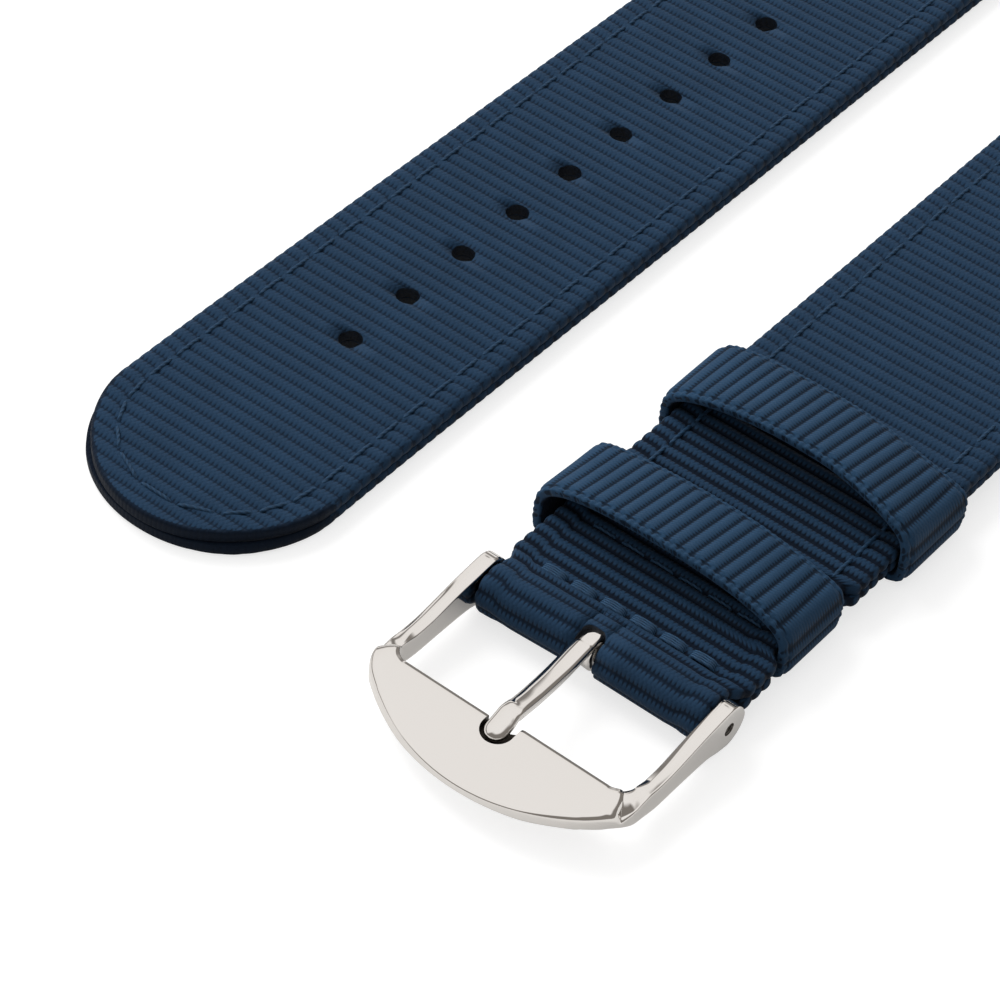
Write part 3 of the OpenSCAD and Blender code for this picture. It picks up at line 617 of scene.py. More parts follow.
# %% [markdown]
# Nine holes are punched through both plies. A punch is a cutting cylinder, so here too a row of
# cylinders is taken away from the tape with a boolean. The walls that it leaves come from the
# cylinders and bring the near-black cut-wall material with them, partly melt and partly painted
# shade.

# %% Cutting and punching
HOLE_D = 1.8
HOLE_PITCH = 6.5
HOLE_COUNT = 9


def cutter(name, fill, material):
    """An object that cuts: fill(bm) makes its mesh in millimetres."""
    bm = bmesh.new()
    fill(bm)
    bmesh.ops.scale(bm, vec=(MM, MM, MM), verts=bm.verts)
    tool = make_object(name, bm)
    tool.data.materials.append(material)
    return tool


def work(piece, tool, operation, solver):
    """Cuts the tool out of the piece, or keeps only what is inside it, and throws the tool away."""
    cut = piece.modifiers.new("cut", "BOOLEAN")
    cut.operation = operation
    cut.solver = solver
    cut.material_mode = "TRANSFER"
    cut.object = tool
    bpy.context.view_layer.update()
    done = bpy.data.meshes.new_from_object(piece.evaluated_get(bpy.context.evaluated_depsgraph_get()))
    piece.modifiers.clear()
    piece.data = done
    bpy.data.objects.remove(tool)
    print(piece.name, "was cut and has", len(done.polygons), "faces")


def punch_row(bm):
    for k in range(HOLE_COUNT):
        y = TIP_Y + FIRST_HOLE + k * HOLE_PITCH
        bmesh.ops.create_cone(bm, cap_ends=True, segments=40, radius1=HOLE_D / 2, radius2=HOLE_D / 2,
                              depth=8, matrix=Matrix.Translation((TAIL_X, y, TAIL_MID)))


work(tail_half, cutter("punch", punch_row, melt_and_shade_edge), "DIFFERENCE", "MANIFOLD")
hand_over(tail_half, "strap", "navy_nylon_webbing", "tail_webbing")

# %% [markdown]
# The buckle half is one tape too. Between the buckle's arms it is squeezed narrower, and the fixed
# keeper presses its right edge in. The fold sits a little askew on the bar, further forward on the
# left. As far as the free keeper the tape was bent and rubbed, so its yarns stand open.

# %% Buckle half
FOLD_SQUEEZE = 0.75
FOLD_HALF_W = HALF_W - FOLD_SQUEEZE
KEEPER_PRESS = 0.9
NECK_HALF_W = HALF_W - KEEPER_PRESS
FOLD_SKEW = 0.5
FOLD_CLOSING = 0.6
free_high = box_mm("free_keeper")[1]
HEAD_S, head_pitch = even_ribs(head_line, 0)


def head_edge(y, side):
    """Half width of the buckle half at y, in the row frame, on its left (-1) or its right (1)."""
    behind_fold = ease(1.5, FOLD_REACH, y - BUCKLE_BAR.y)
    neck = ease(keeper_low.y - 1.2, keeper_low.y - 0.3, y) * ease(keeper_high.y + 1.2,
                                                                  keeper_high.y + 0.3, y)
    press = KEEPER_PRESS * neck if side > 0 else 0.0
    return FOLD_HALF_W + (HALF_W - FOLD_HALF_W) * behind_fold - press


def yarns_open(y):
    """How far the yarns stand open at y: fully as far as the free keeper, less round the bar."""
    closed_by_fold = FOLD_CLOSING * ease(BUCKLE_BAR.y + 2.0, BUCKLE_BAR.y, y)
    return ease(free_high.y + 1.0, free_high.y - 0.5, y) * (1 - closed_by_fold)


def head_place(i, face, j):
    s = HEAD_S[j]
    half = head_edge(head_line.at(s)[0].x, COLUMNS[i])
    x = COLUMNS[i] * half
    point, scallop = woven_corner(head_line, head_pitch, s, x, half - abs(x), face, yarns_open)
    skew = FOLD_SKEW * ease(BUCKLE_BAR.y + 3.0, BUCKLE_BAR.y - 1.0, point.x) * max(0.0, -x / HALF_W)
    return HEAD_X + x - math.copysign(scallop, x), point.x - skew, point.y


def head_uv(i, face, j):
    return COLUMNS[i] * HALF_W, HEAD_S[j] * RIB_PITCH / head_pitch


def head_marks(i, face, j):
    return yarns_open(head_line.at(HEAD_S[j])[0].x), 0.0


head_half = rolled_strip("buckle_strap", len(COLUMNS) - 1, len(HEAD_S) - 1, head_place, head_uv,
                         head_marks)
head_half.data.materials.append(webbing_nylon)

# %% [markdown]
# A slot in the fold lets the tongue swing. At rest the webbing behind the tongue closes the slot
# again as far as the bar, and it crumples away as the tongue rises. So the slot is cut at its full
# length, and what closes it is a flap of its own, cut from the same tape.

# %% Slot and its flap
SLOT_HALF = 0.95
SLOT_X = HEAD_X - 0.35
SLOT_BACK = 1.85
FLAP_FRONT = -0.15


def slot_shape(back, corner):
    """A fill function for a slot that ends at back, with rounded corners, upright through the fold."""
    def fill(bm):
        depth = 6.0
        middle_y = BUCKLE_BAR.y + back - depth / 2
        place = Matrix.Translation((SLOT_X, middle_y, BUCKLE_BAR.z))
        bmesh.ops.create_cube(bm, size=1.0,
                              matrix=place @ Matrix.Diagonal((2 * SLOT_HALF, depth, 8, 1)))
        upright = [e for e in bm.edges if abs(e.verts[0].co.z - e.verts[1].co.z) > 4
                   and e.verts[0].co.y > middle_y]
        bmesh.ops.bevel(bm, geom=upright, offset=corner, segments=8, affect="EDGES", profile=0.5,
                        material=-1)
    return fill


def upper_slot(bm):
    place = Matrix.Translation((SLOT_X, BUCKLE_BAR.y + SLOT_BACK - 3.0, BUCKLE_BAR.z + 2.2))
    bmesh.ops.create_cube(bm, size=1.0, matrix=place @ Matrix.Diagonal((2 * SLOT_HALF, 6.0, 4.0, 1)))


flap = put("slot_flap", head_half.data.copy())
work(flap, cutter("short_slot", slot_shape(FLAP_FRONT, 0.7), melt_and_shade_edge), "DIFFERENCE", "MANIFOLD")
work(flap, cutter("slot_space", upper_slot, melt_and_shade_edge), "INTERSECT", "MANIFOLD")
work(head_half, cutter("slot", slot_shape(SLOT_BACK, 0.02), melt_and_shade_edge), "DIFFERENCE", "MANIFOLD")
hand_over(head_half, "strap", "navy_nylon_webbing", "buckle_webbing")
hand_over(flap, "strap", "navy_nylon_webbing")
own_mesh(flap)

# %% [markdown]
# The keepers are short bands of a lighter tape, bent into a loop. Their ribs run across the band,
# so round the strap they stand side by side like long ovals, and each ends short of the band's two
# thin selvedges. The mouth towards the buckle stands wide open and the back edge a little. A loop is
# drawn in five parts, below, beside and above the strap, and each part has the same number of ribs
# at every place along the band, so that the ribs run straight.

# %% Keepers
KEEPER_PLY = 0.96
KEEPER_RIB = 1.04
KEEPER_YARN = 0.3
KEEPER_OPEN = 0.45
KEEPER_DEPTH = 0.18
RIB_END = (0.45, 0.85)
HEM_LOW, HEM_GROOVE, PICOT = 0.13, 0.04, 0.1
FIXED_EASE, FREE_EASE = 0.82, 0.12
KEEPER_ROWS = 8
KEEPER_STEPS = [0.0, 0.05, 0.12, 0.22, 0.32, 0.42, 0.52, 0.62, 0.74, 0.95, 1.3, 1.9, 2.6, 3.2]
KEEPER_EASING = 6
LOW_CORNER = 0.25
KEEPER_SPAN = keeper_high.y - keeper_low.y
KEEPER_PLACES = KEEPER_STEPS + [KEEPER_SPAN / 2] + [KEEPER_SPAN - e for e in reversed(KEEPER_STEPS)]


def keeper_height(x, half, rise, left, right):
    """Height of a keeper's inner roof above its side at x: a superellipse quarter on each side."""
    power = right if x >= 0 else left
    return rise * (1 - min(abs(x) / half, 1.0) ** power) ** (1 / power)


def keeper_piece(name, node, body, half, side, mouth, back, lean):
    """mouth and back are (height, left power, right power), lean how far each juts out at its right."""
    def roof_at(x, opening):
        shape = (b + (a - b) * opening for a, b in zip(mouth, back))
        return Vector((x, side + keeper_height(x, half, *shape)))

    roof = [roof_at(half * math.cos(math.pi * k / 400), 0.45) for k in range(401)]
    roof_ribs = round(line_length(roof) / KEEPER_RIB)
    roof_x = [p.x for p in split_line(roof, roof_ribs * KEEPER_ROWS)]
    flat_half = half - LOW_CORNER
    floor_rows = round(flat_half / KEEPER_RIB) * KEEPER_ROWS
    corner = [Vector((flat_half, KEEPER_PLY + LOW_CORNER)) + turned(LOW_CORNER, math.pi / 2 * (k / 6 - 1))
              for k in range(7)]
    beside = split_line(corner + [Vector((half, side))], 2 * KEEPER_ROWS)
    right_side = [Vector((flat_half * k / floor_rows, KEEPER_PLY)) for k in range(floor_rows)] + beside[:-1]

    lines = []
    for across in KEEPER_PLACES:
        above = [roof_at(x, 1 - across / KEEPER_SPAN) for x in roof_x]
        line = right_side + above + [Vector((-p.x, p.y)) for p in reversed(right_side[1:])]
        rows = len(line)
        for _ in range(KEEPER_EASING):
            line = [(line[k - 1] + 2 * line[k] + line[(k + 1) % rows]) / 4 for k in range(rows)]
        lines.append(line)
    rows = len(lines[0])
    middle_x, start_y = middle(node).x, box_mm(node)[0].y

    def place(i, face, j):
        line = lines[i]
        at = line[j % rows]
        way = (line[(j + 1) % rows] - line[j % rows - 1]).normalized()
        out = Vector((way.y, -way.x))
        across = KEEPER_PLACES[i]
        e = min(across, KEEPER_SPAN - across)
        ribbed = ease(*RIB_END, e)
        picot = 0.5 + 0.5 * math.cos(4 * math.pi * j / KEEPER_ROWS)
        low = ribbed * (1 - rib_height(j / KEEPER_ROWS, 1.0)) * KEEPER_DEPTH
        low += (1 - ribbed) * (HEM_LOW + PICOT * picot) + HEM_GROOVE * math.exp(-((e - 0.52) / 0.09) ** 2)
        thick = (KEEPER_PLY / 2 - (low if face > 0 else 0.08)) * edge_fall(e, 0.3, 2.2)
        flat = at + out * (KEEPER_PLY / 2 + face * thick)
        shift = 0.06 * picot * (1 if across < 1 else -1) if e < 0.01 else 0.0
        jut = lean[0] + (lean[1] - lean[0]) * across / KEEPER_SPAN
        shift -= jut * ease(2.0, half, flat.x)
        return middle_x + flat.x, start_y + across + shift, max(flat.y, 0.0)

    def uv(i, face, j):
        return KEEPER_PLACES[i], j / KEEPER_ROWS * KEEPER_RIB

    def marks(i, face, j):
        e = min(KEEPER_PLACES[i], KEEPER_SPAN - KEEPER_PLACES[i])
        # Painted shade: a dark line in the hem groove and at the very edge, less groove dark on the band
        # between them, and the whole inner face dark as the shade inside the loop.
        painted_shade = 0.4 * math.exp(-((e - 0.55) / 0.1) ** 2)
        if face > 0:
            return KEEPER_OPEN, painted_shade + ease(0.04, 0.0, e) - 0.3 * ease(0.5, 0.3, e) * ease(0.0, 0.1, e)
        return KEEPER_OPEN, 1.2 * ease(0.2, 0.3, e) - 0.5 * ease(0.12, 0.05, e)

    band = rolled_strip(name, len(KEEPER_PLACES) - 1, rows, place, uv, marks)
    band.data.materials.append(keeper_nylon)
    hand_over(band, body, "navy_nylon_webbing", node)


# %% [markdown]
# The fixed keeper hugs the strap where it is pressed in, and juts a little out on the left. The free
# one has room to slide, its mouth stands higher, and it sits a little slanted.

# %% The two keepers
# The second colour is the painted shade of the grooves.
keeper_nylon = ribbed_nylon("woven_navy_nylon_band", KEEPER_RIB, KEEPER_YARN, (0.3, 0.62, 0.3, 0.62),
                            "#233e58", "#081422")
keeper_piece("fixed_keeper_band", "fixed_keeper", "strap", NECK_HALF_W + FIXED_EASE, STRAP_TOP + 0.02,
             (2.5, 2.4, 2.2), (1.1, 1.7, 1.7), (0.0, 0.35))
keeper_piece("free_keeper_band", "free_keeper", "free_keeper", HALF_W + FREE_EASE, STRAP_TOP + 0.06,
             (2.85, 1.8, 2.5), (1.5, 2.6, 1.3), (0.8, 0.4))

# %% [markdown]
# Stitches. A lockstitch shows as a dash from needle hole to needle hole: the thread rises out of
# the webbing, lies on the ribs and dives again. Each stitch is a short tube that was rolled from a
# grid, and all the stitches of a seam are one mesh.

# %% Stitch maker
THREAD_R = 0.16
THREAD_STEPS = 9
THREAD_SINK = 0.28
UP = Vector((0, 0, 1))


def thread_tube(bm, weave, path, radii, sides=8):
    """Adds a closed tube along a path of points, with a radius at each (width, height)."""
    rows = len(path) - 1
    grid = bmesh.ops.create_grid(bm, x_segments=sides, y_segments=rows, size=0.5, calc_uvs=True)
    spots = {v: (round((v.co.x + 0.5) * sides), round((v.co.y + 0.5) * rows)) for v in grid["verts"]}
    faces = {f for v in grid["verts"] for f in v.link_faces}
    for patch in faces:
        patch.smooth = True
        for loop in patch.loops:
            k, j = spots[loop.vert]
            loop[weave].uv = (k / sides, (path[j] - path[0]).length)
    for corner, (k, j) in spots.items():
        way = (path[min(j + 1, rows)] - path[max(j - 1, 0)]).normalized()
        side = way.cross(UP)
        side = side.normalized() if side.length > 1e-6 else Vector((1, 0, 0))
        up = side.cross(way).normalized()
        angle = 2 * math.pi * k / sides
        wide, high = radii[j]
        corner.co = path[j] + side * wide * math.cos(angle) + up * high * math.sin(angle)


def stitch(bm, weave, start, end, up, width, height, strands):
    """One stitch from a needle hole to the next, as one thread or as a flat bundle of strands."""
    way = end - start
    aside = way.normalized().cross(up)
    radii = [(0.94 * width / strands, max(height, width / strands) * 0.9)] * (THREAD_STEPS + 1)
    for n in range(strands):
        off = (n - (strands - 1) / 2) * 2 * width / strands
        path = []
        for t in (k / THREAD_STEPS for k in range(THREAD_STEPS + 1)):
            lift = 1 - abs(2 * t - 1) ** 7
            spread = 0.85 + 0.15 * math.sin(math.pi * t)
            rise = lift * (height + THREAD_SINK) - THREAD_SINK
            path.append(start + way * t + aside * off * spread + up * rise)
        thread_tube(bm, weave, path, radii, sides=8 if strands == 1 else 6)


def seam(name, stitches, body, node, material):
    """A seam from a list of (start, end, up, width, height, strands) in millimetres."""
    bm = bmesh.new()
    weave = bm.loops.layers.uv.new("weave")
    for parts in stitches:
        stitch(bm, weave, *parts)
    bmesh.ops.scale(bm, vec=(MM, MM, MM), verts=bm.verts)
    close_up(bm, SAME_PLACE)
    piece = make_object(name, bm)
    piece.data.materials.append(material)
    hand_over(piece, body, "navy_polyester_thread", node)


# %% [markdown]
# The edge seams run two millimetres inside the edges, on the upper and the lower face. They sit
# low, because the thread pulls itself into the webbing.

# %% Edge seams
STITCH = 3.0
STITCH_GAP = 0.16
SEAM_SINK = 0.1
SEAM_PROUD = 0.03
OFF_TABLE = 0.1


def both_faces(a, b, top, under, width, proud, strands):
    """The same stitch on the upper and the lower face, from a to b seen from above."""
    return [(Vector((a[0], a[1], z)), Vector((b[0], b[1], z)), up, width, proud, strands)
            for z, up in ((top, UP), (under, -UP))]


def run(points_of, count, top, under, x0, bend=lambda y: 0.0):
    """Stitches along a line: points_of(t) gives (x, y) at t from 0 to 1, for both faces."""
    made = []
    for k in range(count):
        a, b = points_of(k / count), points_of((k + 1) / count)
        way = (b - a).normalized() * STITCH_GAP
        a, b = a + way, b - way
        a.x += x0 + bend(a.y)
        b.x += x0 + bend(b.y)
        made += both_faces(a, b, top, under, THREAD_R, SEAM_PROUD, 1)
    return made


def straight(x, y0, y1):
    return lambda t: Vector((x, y0 + (y1 - y0) * t))


def arc(cx, cy, radius, start, end):
    return lambda t: Vector((cx, cy)) + turned(radius, start + (end - start) * t)


# %% [markdown]
# On the tail half the seam runs up both edges and follows the tip's three arcs. On the buckle half
# it is straight. Every stitch is about three millimetres long.

# %% The edge seams' routes
seam_x = HALF_W - SEAM_INSET
tail_top, tail_under = 2 * TAIL_MID - SEAM_SINK, SEAM_SINK + OFF_TABLE
tail_seam_end = TAIL_BAR.y - TAIL_REACH - 1.5
count = math.floor((tail_seam_end - TIP_Y - TIP_ROUND) / STITCH)
side_y = TIP_Y + TIP_ROUND
stop = side_y + count * STITCH
nose_y = TIP_Y + NOSE_R
side_count = max(1, round((SIDE_R - SEAM_INSET) * NOSE_TURN / STITCH))
nose_count = round((NOSE_R - SEAM_INSET) * (math.pi - 2 * NOSE_TURN) / STITCH)
turn0 = math.pi + NOSE_TURN
turn1 = 2 * math.pi - NOSE_TURN
tail_stitches = []
for line, number in ((straight(-seam_x, side_y, stop), count), (straight(seam_x, side_y, stop), count),
                     (arc(SIDE_X, side_y, SIDE_R - SEAM_INSET, math.pi, turn0), side_count),
                     (arc(0, nose_y, NOSE_R - SEAM_INSET, turn0, turn1), nose_count),
                     (arc(-SIDE_X, side_y, SIDE_R - SEAM_INSET, turn1, 2 * math.pi), side_count)):
    tail_stitches += run(line, number, tail_top, tail_under, TAIL_X, tail_bend)
seam("tail_edge_stitches", tail_stitches, "strap", "tail_edge_seam", seam_thread)

for node in ("head_edge_seam_left", "head_edge_seam_right"):
    low_corner, high_corner = box_mm(node)
    x = (low_corner.x + high_corner.x) / 2
    count = round((high_corner.y - low_corner.y) / STITCH)
    made = run(straight(x, low_corner.y, high_corner.y), count, STRAP_TOP - SEAM_SINK,
               HEAD_MID - TAIL_MID + SEAM_SINK, 0.0)
    seam(node.replace("seam", "stitches"), made, "strap", node, seam_thread)

# %% [markdown]
# The folds are closed by rows of six thick stitches, each a flat bundle of four strands. The row at
# the buckle follows the fold, which sits askew. The rows under the keepers are thinner.

# %% Rows that close the folds
ROW_HALF = 0.4
ROW_PROUD = 0.2
ROW_GAP = 0.24
ROW_SINK = 0.03
FOLD_ROW_AHEAD = 0.27
FOLD_ROW_SKEW = 0.031


def cross_row(node, name, top, under, width, proud, strands, ahead=0.0, skew=0.0, number=6):
    """A row of stitches across the strap, in the box of its CAD node."""
    low_corner, high_corner = box_mm(node)
    y = (low_corner.y + high_corner.y) / 2 - ahead
    x0, x1 = low_corner.x, high_corner.x
    gap = STITCH_GAP if strands == 1 else ROW_GAP
    made = []
    for k in range(number):
        a = x0 + (x1 - x0) * k / number + gap
        b = x0 + (x1 - x0) * (k + 1) / number - gap
        made += both_faces((a, y + skew * (a - HEAD_X)), (b, y + skew * (b - HEAD_X)), top, under,
                           width, proud, strands)
    seam(name, made, "strap", node, seam_thread if strands == 1 else thick_thread)


thick_row, thin_row = (ROW_HALF, ROW_PROUD, 4), (0.13, 0.06, 1)
row_top, row_under = STRAP_TOP - ROW_SINK, HEAD_MID - TAIL_MID + 0.16
cross_row("fold_seam", "fold_stitches", row_top, row_under, *thick_row, FOLD_ROW_AHEAD, FOLD_ROW_SKEW)
cross_row("head_lug_seam", "head_lug_stitches", row_top, row_under, *thick_row)
cross_row("tail_lug_seam", "tail_lug_stitches", 2 * TAIL_MID - ROW_SINK, 0.4, *thick_row)
for end in ("front", "back"):
    cross_row("fixed_keeper_seam_" + end, "fixed_keeper_stitches_" + end, STRAP_TOP - 0.2, 0.17,
              *thin_row)

low_corner, high_corner = box_mm("free_keeper_seam")
span = high_corner.y - low_corner.y
closing = []
for y in (low_corner.y, low_corner.y + span / 2):
    closing += both_faces((HEAD_X, y + STITCH_GAP), (HEAD_X, y + span / 2 - STITCH_GAP),
                          KEEPER_PLY - 0.1, 0.3, ROW_HALF, 0.1, 4)
seam("free_keeper_stitches", closing, "free_keeper", "free_keeper_seam", thick_thread)

# %% [markdown]
# The buckle frame is the same idea in steel: a strip that runs from one ear, along the arm, round
# the corner, across the front plate and back up the other arm. Its section changes on the way, from
# an upright bar to a wide crowned plate with a raised pad. Pairs of points on the inner and the
# outer outline, seen from above, give the section's width, and a rule gives its height.

# %% Buckle frame outline
frame_low, frame_high = box_mm("buckle_frame")
OUTER = (frame_high.x - frame_low.x) / 2
ARM_T = 1.15
INNER = OUTER - ARM_T
EAR_R = frame_high.y - BUCKLE_BAR.y
PLATE_BACK = 10.7
PLATE_FRONT = BUCKLE_BAR.y - frame_low.y
BOW_R = 15.3
CORNER_R = 3.0
WINDOW_R = 1.3
CROWN_R = 16.6
CROWN_TURN = math.radians(3)
CROWN_Y = -PLATE_BACK + CROWN_R * math.sin(CROWN_TURN)
CROWN_Z = 1.47 - CROWN_R * math.cos(CROWN_TURN)
BOW_Y = BOW_R - PLATE_FRONT
CORNER_START = -PLATE_BACK + WINDOW_R
EAR_ROWS, ARM_ROWS, TURN_ROWS, PLATE_ROWS = 18, 44, 60, 60
print("buckle half width", round(OUTER, 2), "ear", round(EAR_R, 2), "front", round(PLATE_FRONT, 2))


def bow_front(x):
    """The plate's bowed front edge at x."""
    return BOW_Y - math.sqrt(max(0.0, BOW_R ** 2 - x ** 2))


def frame_rows():
    """Rows of the right half from the ear to the plate's middle: (kind, where, inner, outer)."""
    ear = [("ear", EAR_R * math.cos(math.pi / 2 * k / EAR_ROWS)) for k in range(EAR_ROWS)]
    arm = [("arm", CORNER_START * k / ARM_ROWS) for k in range(ARM_ROWS)]
    rows = [(kind, y, Vector((INNER, y)), Vector((OUTER, y))) for kind, y in ear + arm]
    cx, cy = OUTER - CORNER_R, BOW_Y - math.sqrt((BOW_R - CORNER_R) ** 2 - (OUTER - CORNER_R) ** 2)
    bow_turn = math.atan2(cy - BOW_Y, cx)
    x_end = INNER - WINDOW_R
    end_turn = -math.acos(x_end / BOW_R)
    outer = [Vector((OUTER, CORNER_START))]
    outer += [Vector((cx, cy)) + turned(CORNER_R, bow_turn * k / 20) for k in range(21)]
    outer += [Vector((0, BOW_Y)) + turned(BOW_R, bow_turn + (end_turn - bow_turn) * k / 8)
              for k in range(1, 9)]
    centre = Vector((x_end, CORNER_START))
    outer = split_line(outer, TURN_ROWS)
    for k in range(TURN_ROWS):
        turn = 90 * k / TURN_ROWS
        rows.append(("turn", turn, centre + turned(WINDOW_R, -math.radians(turn)), outer[k]))
    for k in range(PLATE_ROWS + 1):
        x = x_end * (1 - k / PLATE_ROWS)
        rows.append(("plate", x, Vector((x, -PLATE_BACK)), Vector((x, bow_front(x)))))
    return rows


right_half = frame_rows()
FRAME_ROWS = right_half + [(kind, where, Vector((-a.x, a.y)), Vector((-b.x, b.y)))
                           for kind, where, a, b in reversed(right_half[:-1])]
print("frame sections:", len(FRAME_ROWS))

# %% [markdown]
# Heights of the frame. From the side the arm is tallest at the ear, dips and rises again to the
# plate. The plate's pad is a slice of a large cylinder. It stands a little above the shoulders and
# ends in a rounded step, which is the dark corner that a polished buckle shows.

# %% Buckle frame heights
ARM_TOP = [(0, 1.72), (-1, 1.64), (-2.9, 1.4), (-4.7, 1.1), (-6.4, 0.84), (-7.9, 0.79), (-9.4, 0.9),
           (-10.5, 1.0)]
ARM_UNDER = [(0, -1.72), (-1, -1.55), (-2.4, -1.2), (-5.4, -1.12), (-8.2, -1.1), (-10.1, -0.8),
             (-12.5, -0.35)]
PAD_TURN, STEP_TURN = 66, 43
LEFT_PAD_TURN, LEFT_STEP_TURN = 52, 14
SHOULDER_OUT = [(0, 0.88), (-30, 0.62), (-50, 0.3), (-66, 0.2)]


def curve_at(knots, value):
    """A smooth curve through (value, height) knots in falling order, flat beyond them."""
    if value >= knots[0][0]:
        return knots[0][1]
    if value <= knots[-1][0]:
        return knots[-1][1]
    slopes = [(b[1] - a[1]) / (b[0] - a[0])
              for a, b in zip([knots[0]] + knots[:-1], knots[1:] + [knots[-1]])]
    i = max(k for k in range(len(knots) - 1) if value <= knots[k][0])
    (a, ha), (b, hb) = knots[i], knots[i + 1]
    t, w = (value - a) / (b - a), b - a
    return ((1 + 2 * t) * (1 - t) ** 2 * ha + t * (1 - t) ** 2 * w * slopes[i]
            + t * t * (3 - 2 * t) * hb + t * t * (t - 1) * w * slopes[i + 1])


def crown(y):
    return CROWN_Z + math.sqrt(max(0.0, CROWN_R ** 2 - (y - CROWN_Y) ** 2))


def crease_lift(y):
    """How much higher an arm's inner crease lies than its outer edge."""
    return 0.2 * ease(-1.0, -4.5, y)


def top_height(kind, where, point, t):
    """Height of the frame's top at a point, t being its share of the way across the row."""
    if kind == "ear":
        return math.sqrt(max(0.0, EAR_R ** 2 - where ** 2))
    if kind == "arm":
        return curve_at(ARM_TOP, where) + crease_lift(where) * (1 - t) + 0.05 * math.sin(math.pi * t)
    if kind == "plate":
        return crown(point.y)
    inner = curve_at(ARM_TOP, CORNER_START) + crease_lift(CORNER_START) + 0.1 * ease(0, 45, where)
    outer = curve_at(SHOULDER_OUT, -where)
    shoulder = inner + (outer - inner) * t ** (1 + 0.6 * ease(0, 30, where)) + 0.05 * math.sin(math.pi * t)
    pad, step = (PAD_TURN, STEP_TURN) if point.x > 0 else (LEFT_PAD_TURN, LEFT_STEP_TURN)
    u = min(max((pad - where) / (pad - step), 0.0), 1.0)
    on_pad = math.sqrt(1 - u * u) * (1 - 0.25 * ease(0.7, 1.0, u))
    return shoulder + (max(crown(point.y), shoulder) - shoulder) * on_pad


def under_height(kind, where, point):
    """Height of the frame's underside at a point."""
    if kind == "ear":
        return -math.sqrt(max(0.0, EAR_R ** 2 - where ** 2))
    if kind == "arm":
        return curve_at(ARM_UNDER, where)
    rim = ease(1.1, 0.5, point.y - bow_front(point.x))
    shell = (crown(point.y) - 1.0) * (1 - rim) - 0.35 * rim
    if kind == "plate":
        return shell
    return curve_at(ARM_UNDER, point.y) + (shell - curve_at(ARM_UNDER, point.y)) * ease(60, 90, where)


print("arm heights", [(y, round(curve_at(ARM_TOP, y), 2)) for y in (0, -4, -7, -10)])

# %% [markdown]
# The section itself. It goes up the inner side, over a narrow facet, across the top, over the outer
# bevel, down the outer side and back underneath. The facet leans towards the window, widens along
# the arm and runs on along the plate's back edge. Where it meets the top, points stand close
# together, so that the polish turns there in a thin line.

# %% Buckle frame mesh
EDGE_R = 0.14
ROUND_MORE = 0.3
FULL_HEIGHT = 1.2
CREASE = 0.07
FACET_SLOPE = 0.5
PLATE_FACET = 0.42
PLATE_SLOPE = 0.33


def facet_width(kind, where):
    if kind == "ear":
        return 0.12
    if kind == "arm":
        return 0.16 + 0.34 * ease(0.0, -6.5, where) - 0.28 * ease(-7.8, -9.4, where)
    if kind == "turn":
        return 0.22 + (PLATE_FACET - 0.22) * ease(0, 60, where)
    return PLATE_FACET


def facet_slope(kind, where):
    share = ease(0, 60, where) if kind == "turn" else float(kind == "plate")
    return FACET_SLOPE + (PLATE_SLOPE - FACET_SLOPE) * share


SECTION = [(part, share) for part, shares in (
    ("inner", (0.0, 0.08, 0.5, 0.92, 1.0)), ("facet", (0.0, 0.15, 0.85, 1.0)), ("crease", (0.0,)),
    ("top", (0.0, 0.03, 0.1, 0.2, 0.32, 0.44, 0.56, 0.68, 0.8, 0.9, 0.97, 1.0)),
    ("edge", (0.0, 0.4, 0.75, 1.0)), ("outer", (0.92, 0.5, 0.08, 0.0)),
    ("under", (1.0, 0.85, 0.65, 0.45, 0.25, 0.0))) for share in shares]


def rim_roundness(kind, where):
    """0 where the outer edge is only broken, 1 at the plate's ends, where it is well rounded."""
    if kind == "plate":
        return ease(4.5, 8.0, abs(where))
    return ease(25, 55, where) if kind == "turn" else 0.0


def frame_corner(part, share, j):
    """A corner of the frame's section in row j, fit being how much of the full bevels there is room for."""
    kind, where, inner, outer = FRAME_ROWS[j]
    span = (outer - inner).length
    way = (outer - inner) / span
    slope = facet_slope(kind, where)
    edge = EDGE_R + ROUND_MORE * rim_roundness(kind, where)
    tall = top_height(kind, where, inner, 0.0) - under_height(kind, where, inner)
    fit = min(1.0, tall / FULL_HEIGHT)
    edge, facet = min(edge * fit, 0.45 * tall), facet_width(kind, where) * max(fit, 0.3)

    def top_at(distance):
        point = inner + way * distance
        t = min(max((distance - facet) / (span - facet - edge), 0.0), 1.0)
        return top_height(kind, where, point, t)

    crease_z = top_at(facet)
    facet_foot = crease_z - facet * slope
    top_out = top_at(span - edge)
    if part == "inner":
        low = under_height(kind, where, inner) + edge
        high = max(facet_foot - 0.05 * fit, low + 0.002)
        at, z = 0.0, low + (high - low) * share
    elif part == "facet":
        at = 0.02 * fit + (facet - CREASE * fit - 0.02 * fit) * share
        z = facet_foot + at * slope
    elif part == "crease":
        at, z = facet, crease_z - 0.03 * fit
    elif part == "top":
        start = facet + CREASE * fit
        at = start + (span - edge - start) * share
        z = top_at(at)
    elif part == "edge":
        turn = math.radians(20 + 70 * share)
        at = span - edge + edge * math.sin(turn)
        z = top_out - edge * (1 - math.cos(turn))
    elif part == "outer":
        low = under_height(kind, where, outer) + edge
        high = max(top_out - edge, low + 0.002)
        at, z = span, low + (high - low) * share
    else:
        at = edge + (span - 2 * edge) * share
        z = under_height(kind, where, inner + way * at)
    point = inner + way * at
    return point.x, point.y, z


# %% [markdown]
# The steel pieces are rolled from a grid like the tape, but each row is a whole section. A modifier
# lets the large faces set the normals, which gives flat mirrors with thin bright edges.

# %% Rolling and polishing the steel
STEEL_SAME_PLACE = 2e-7


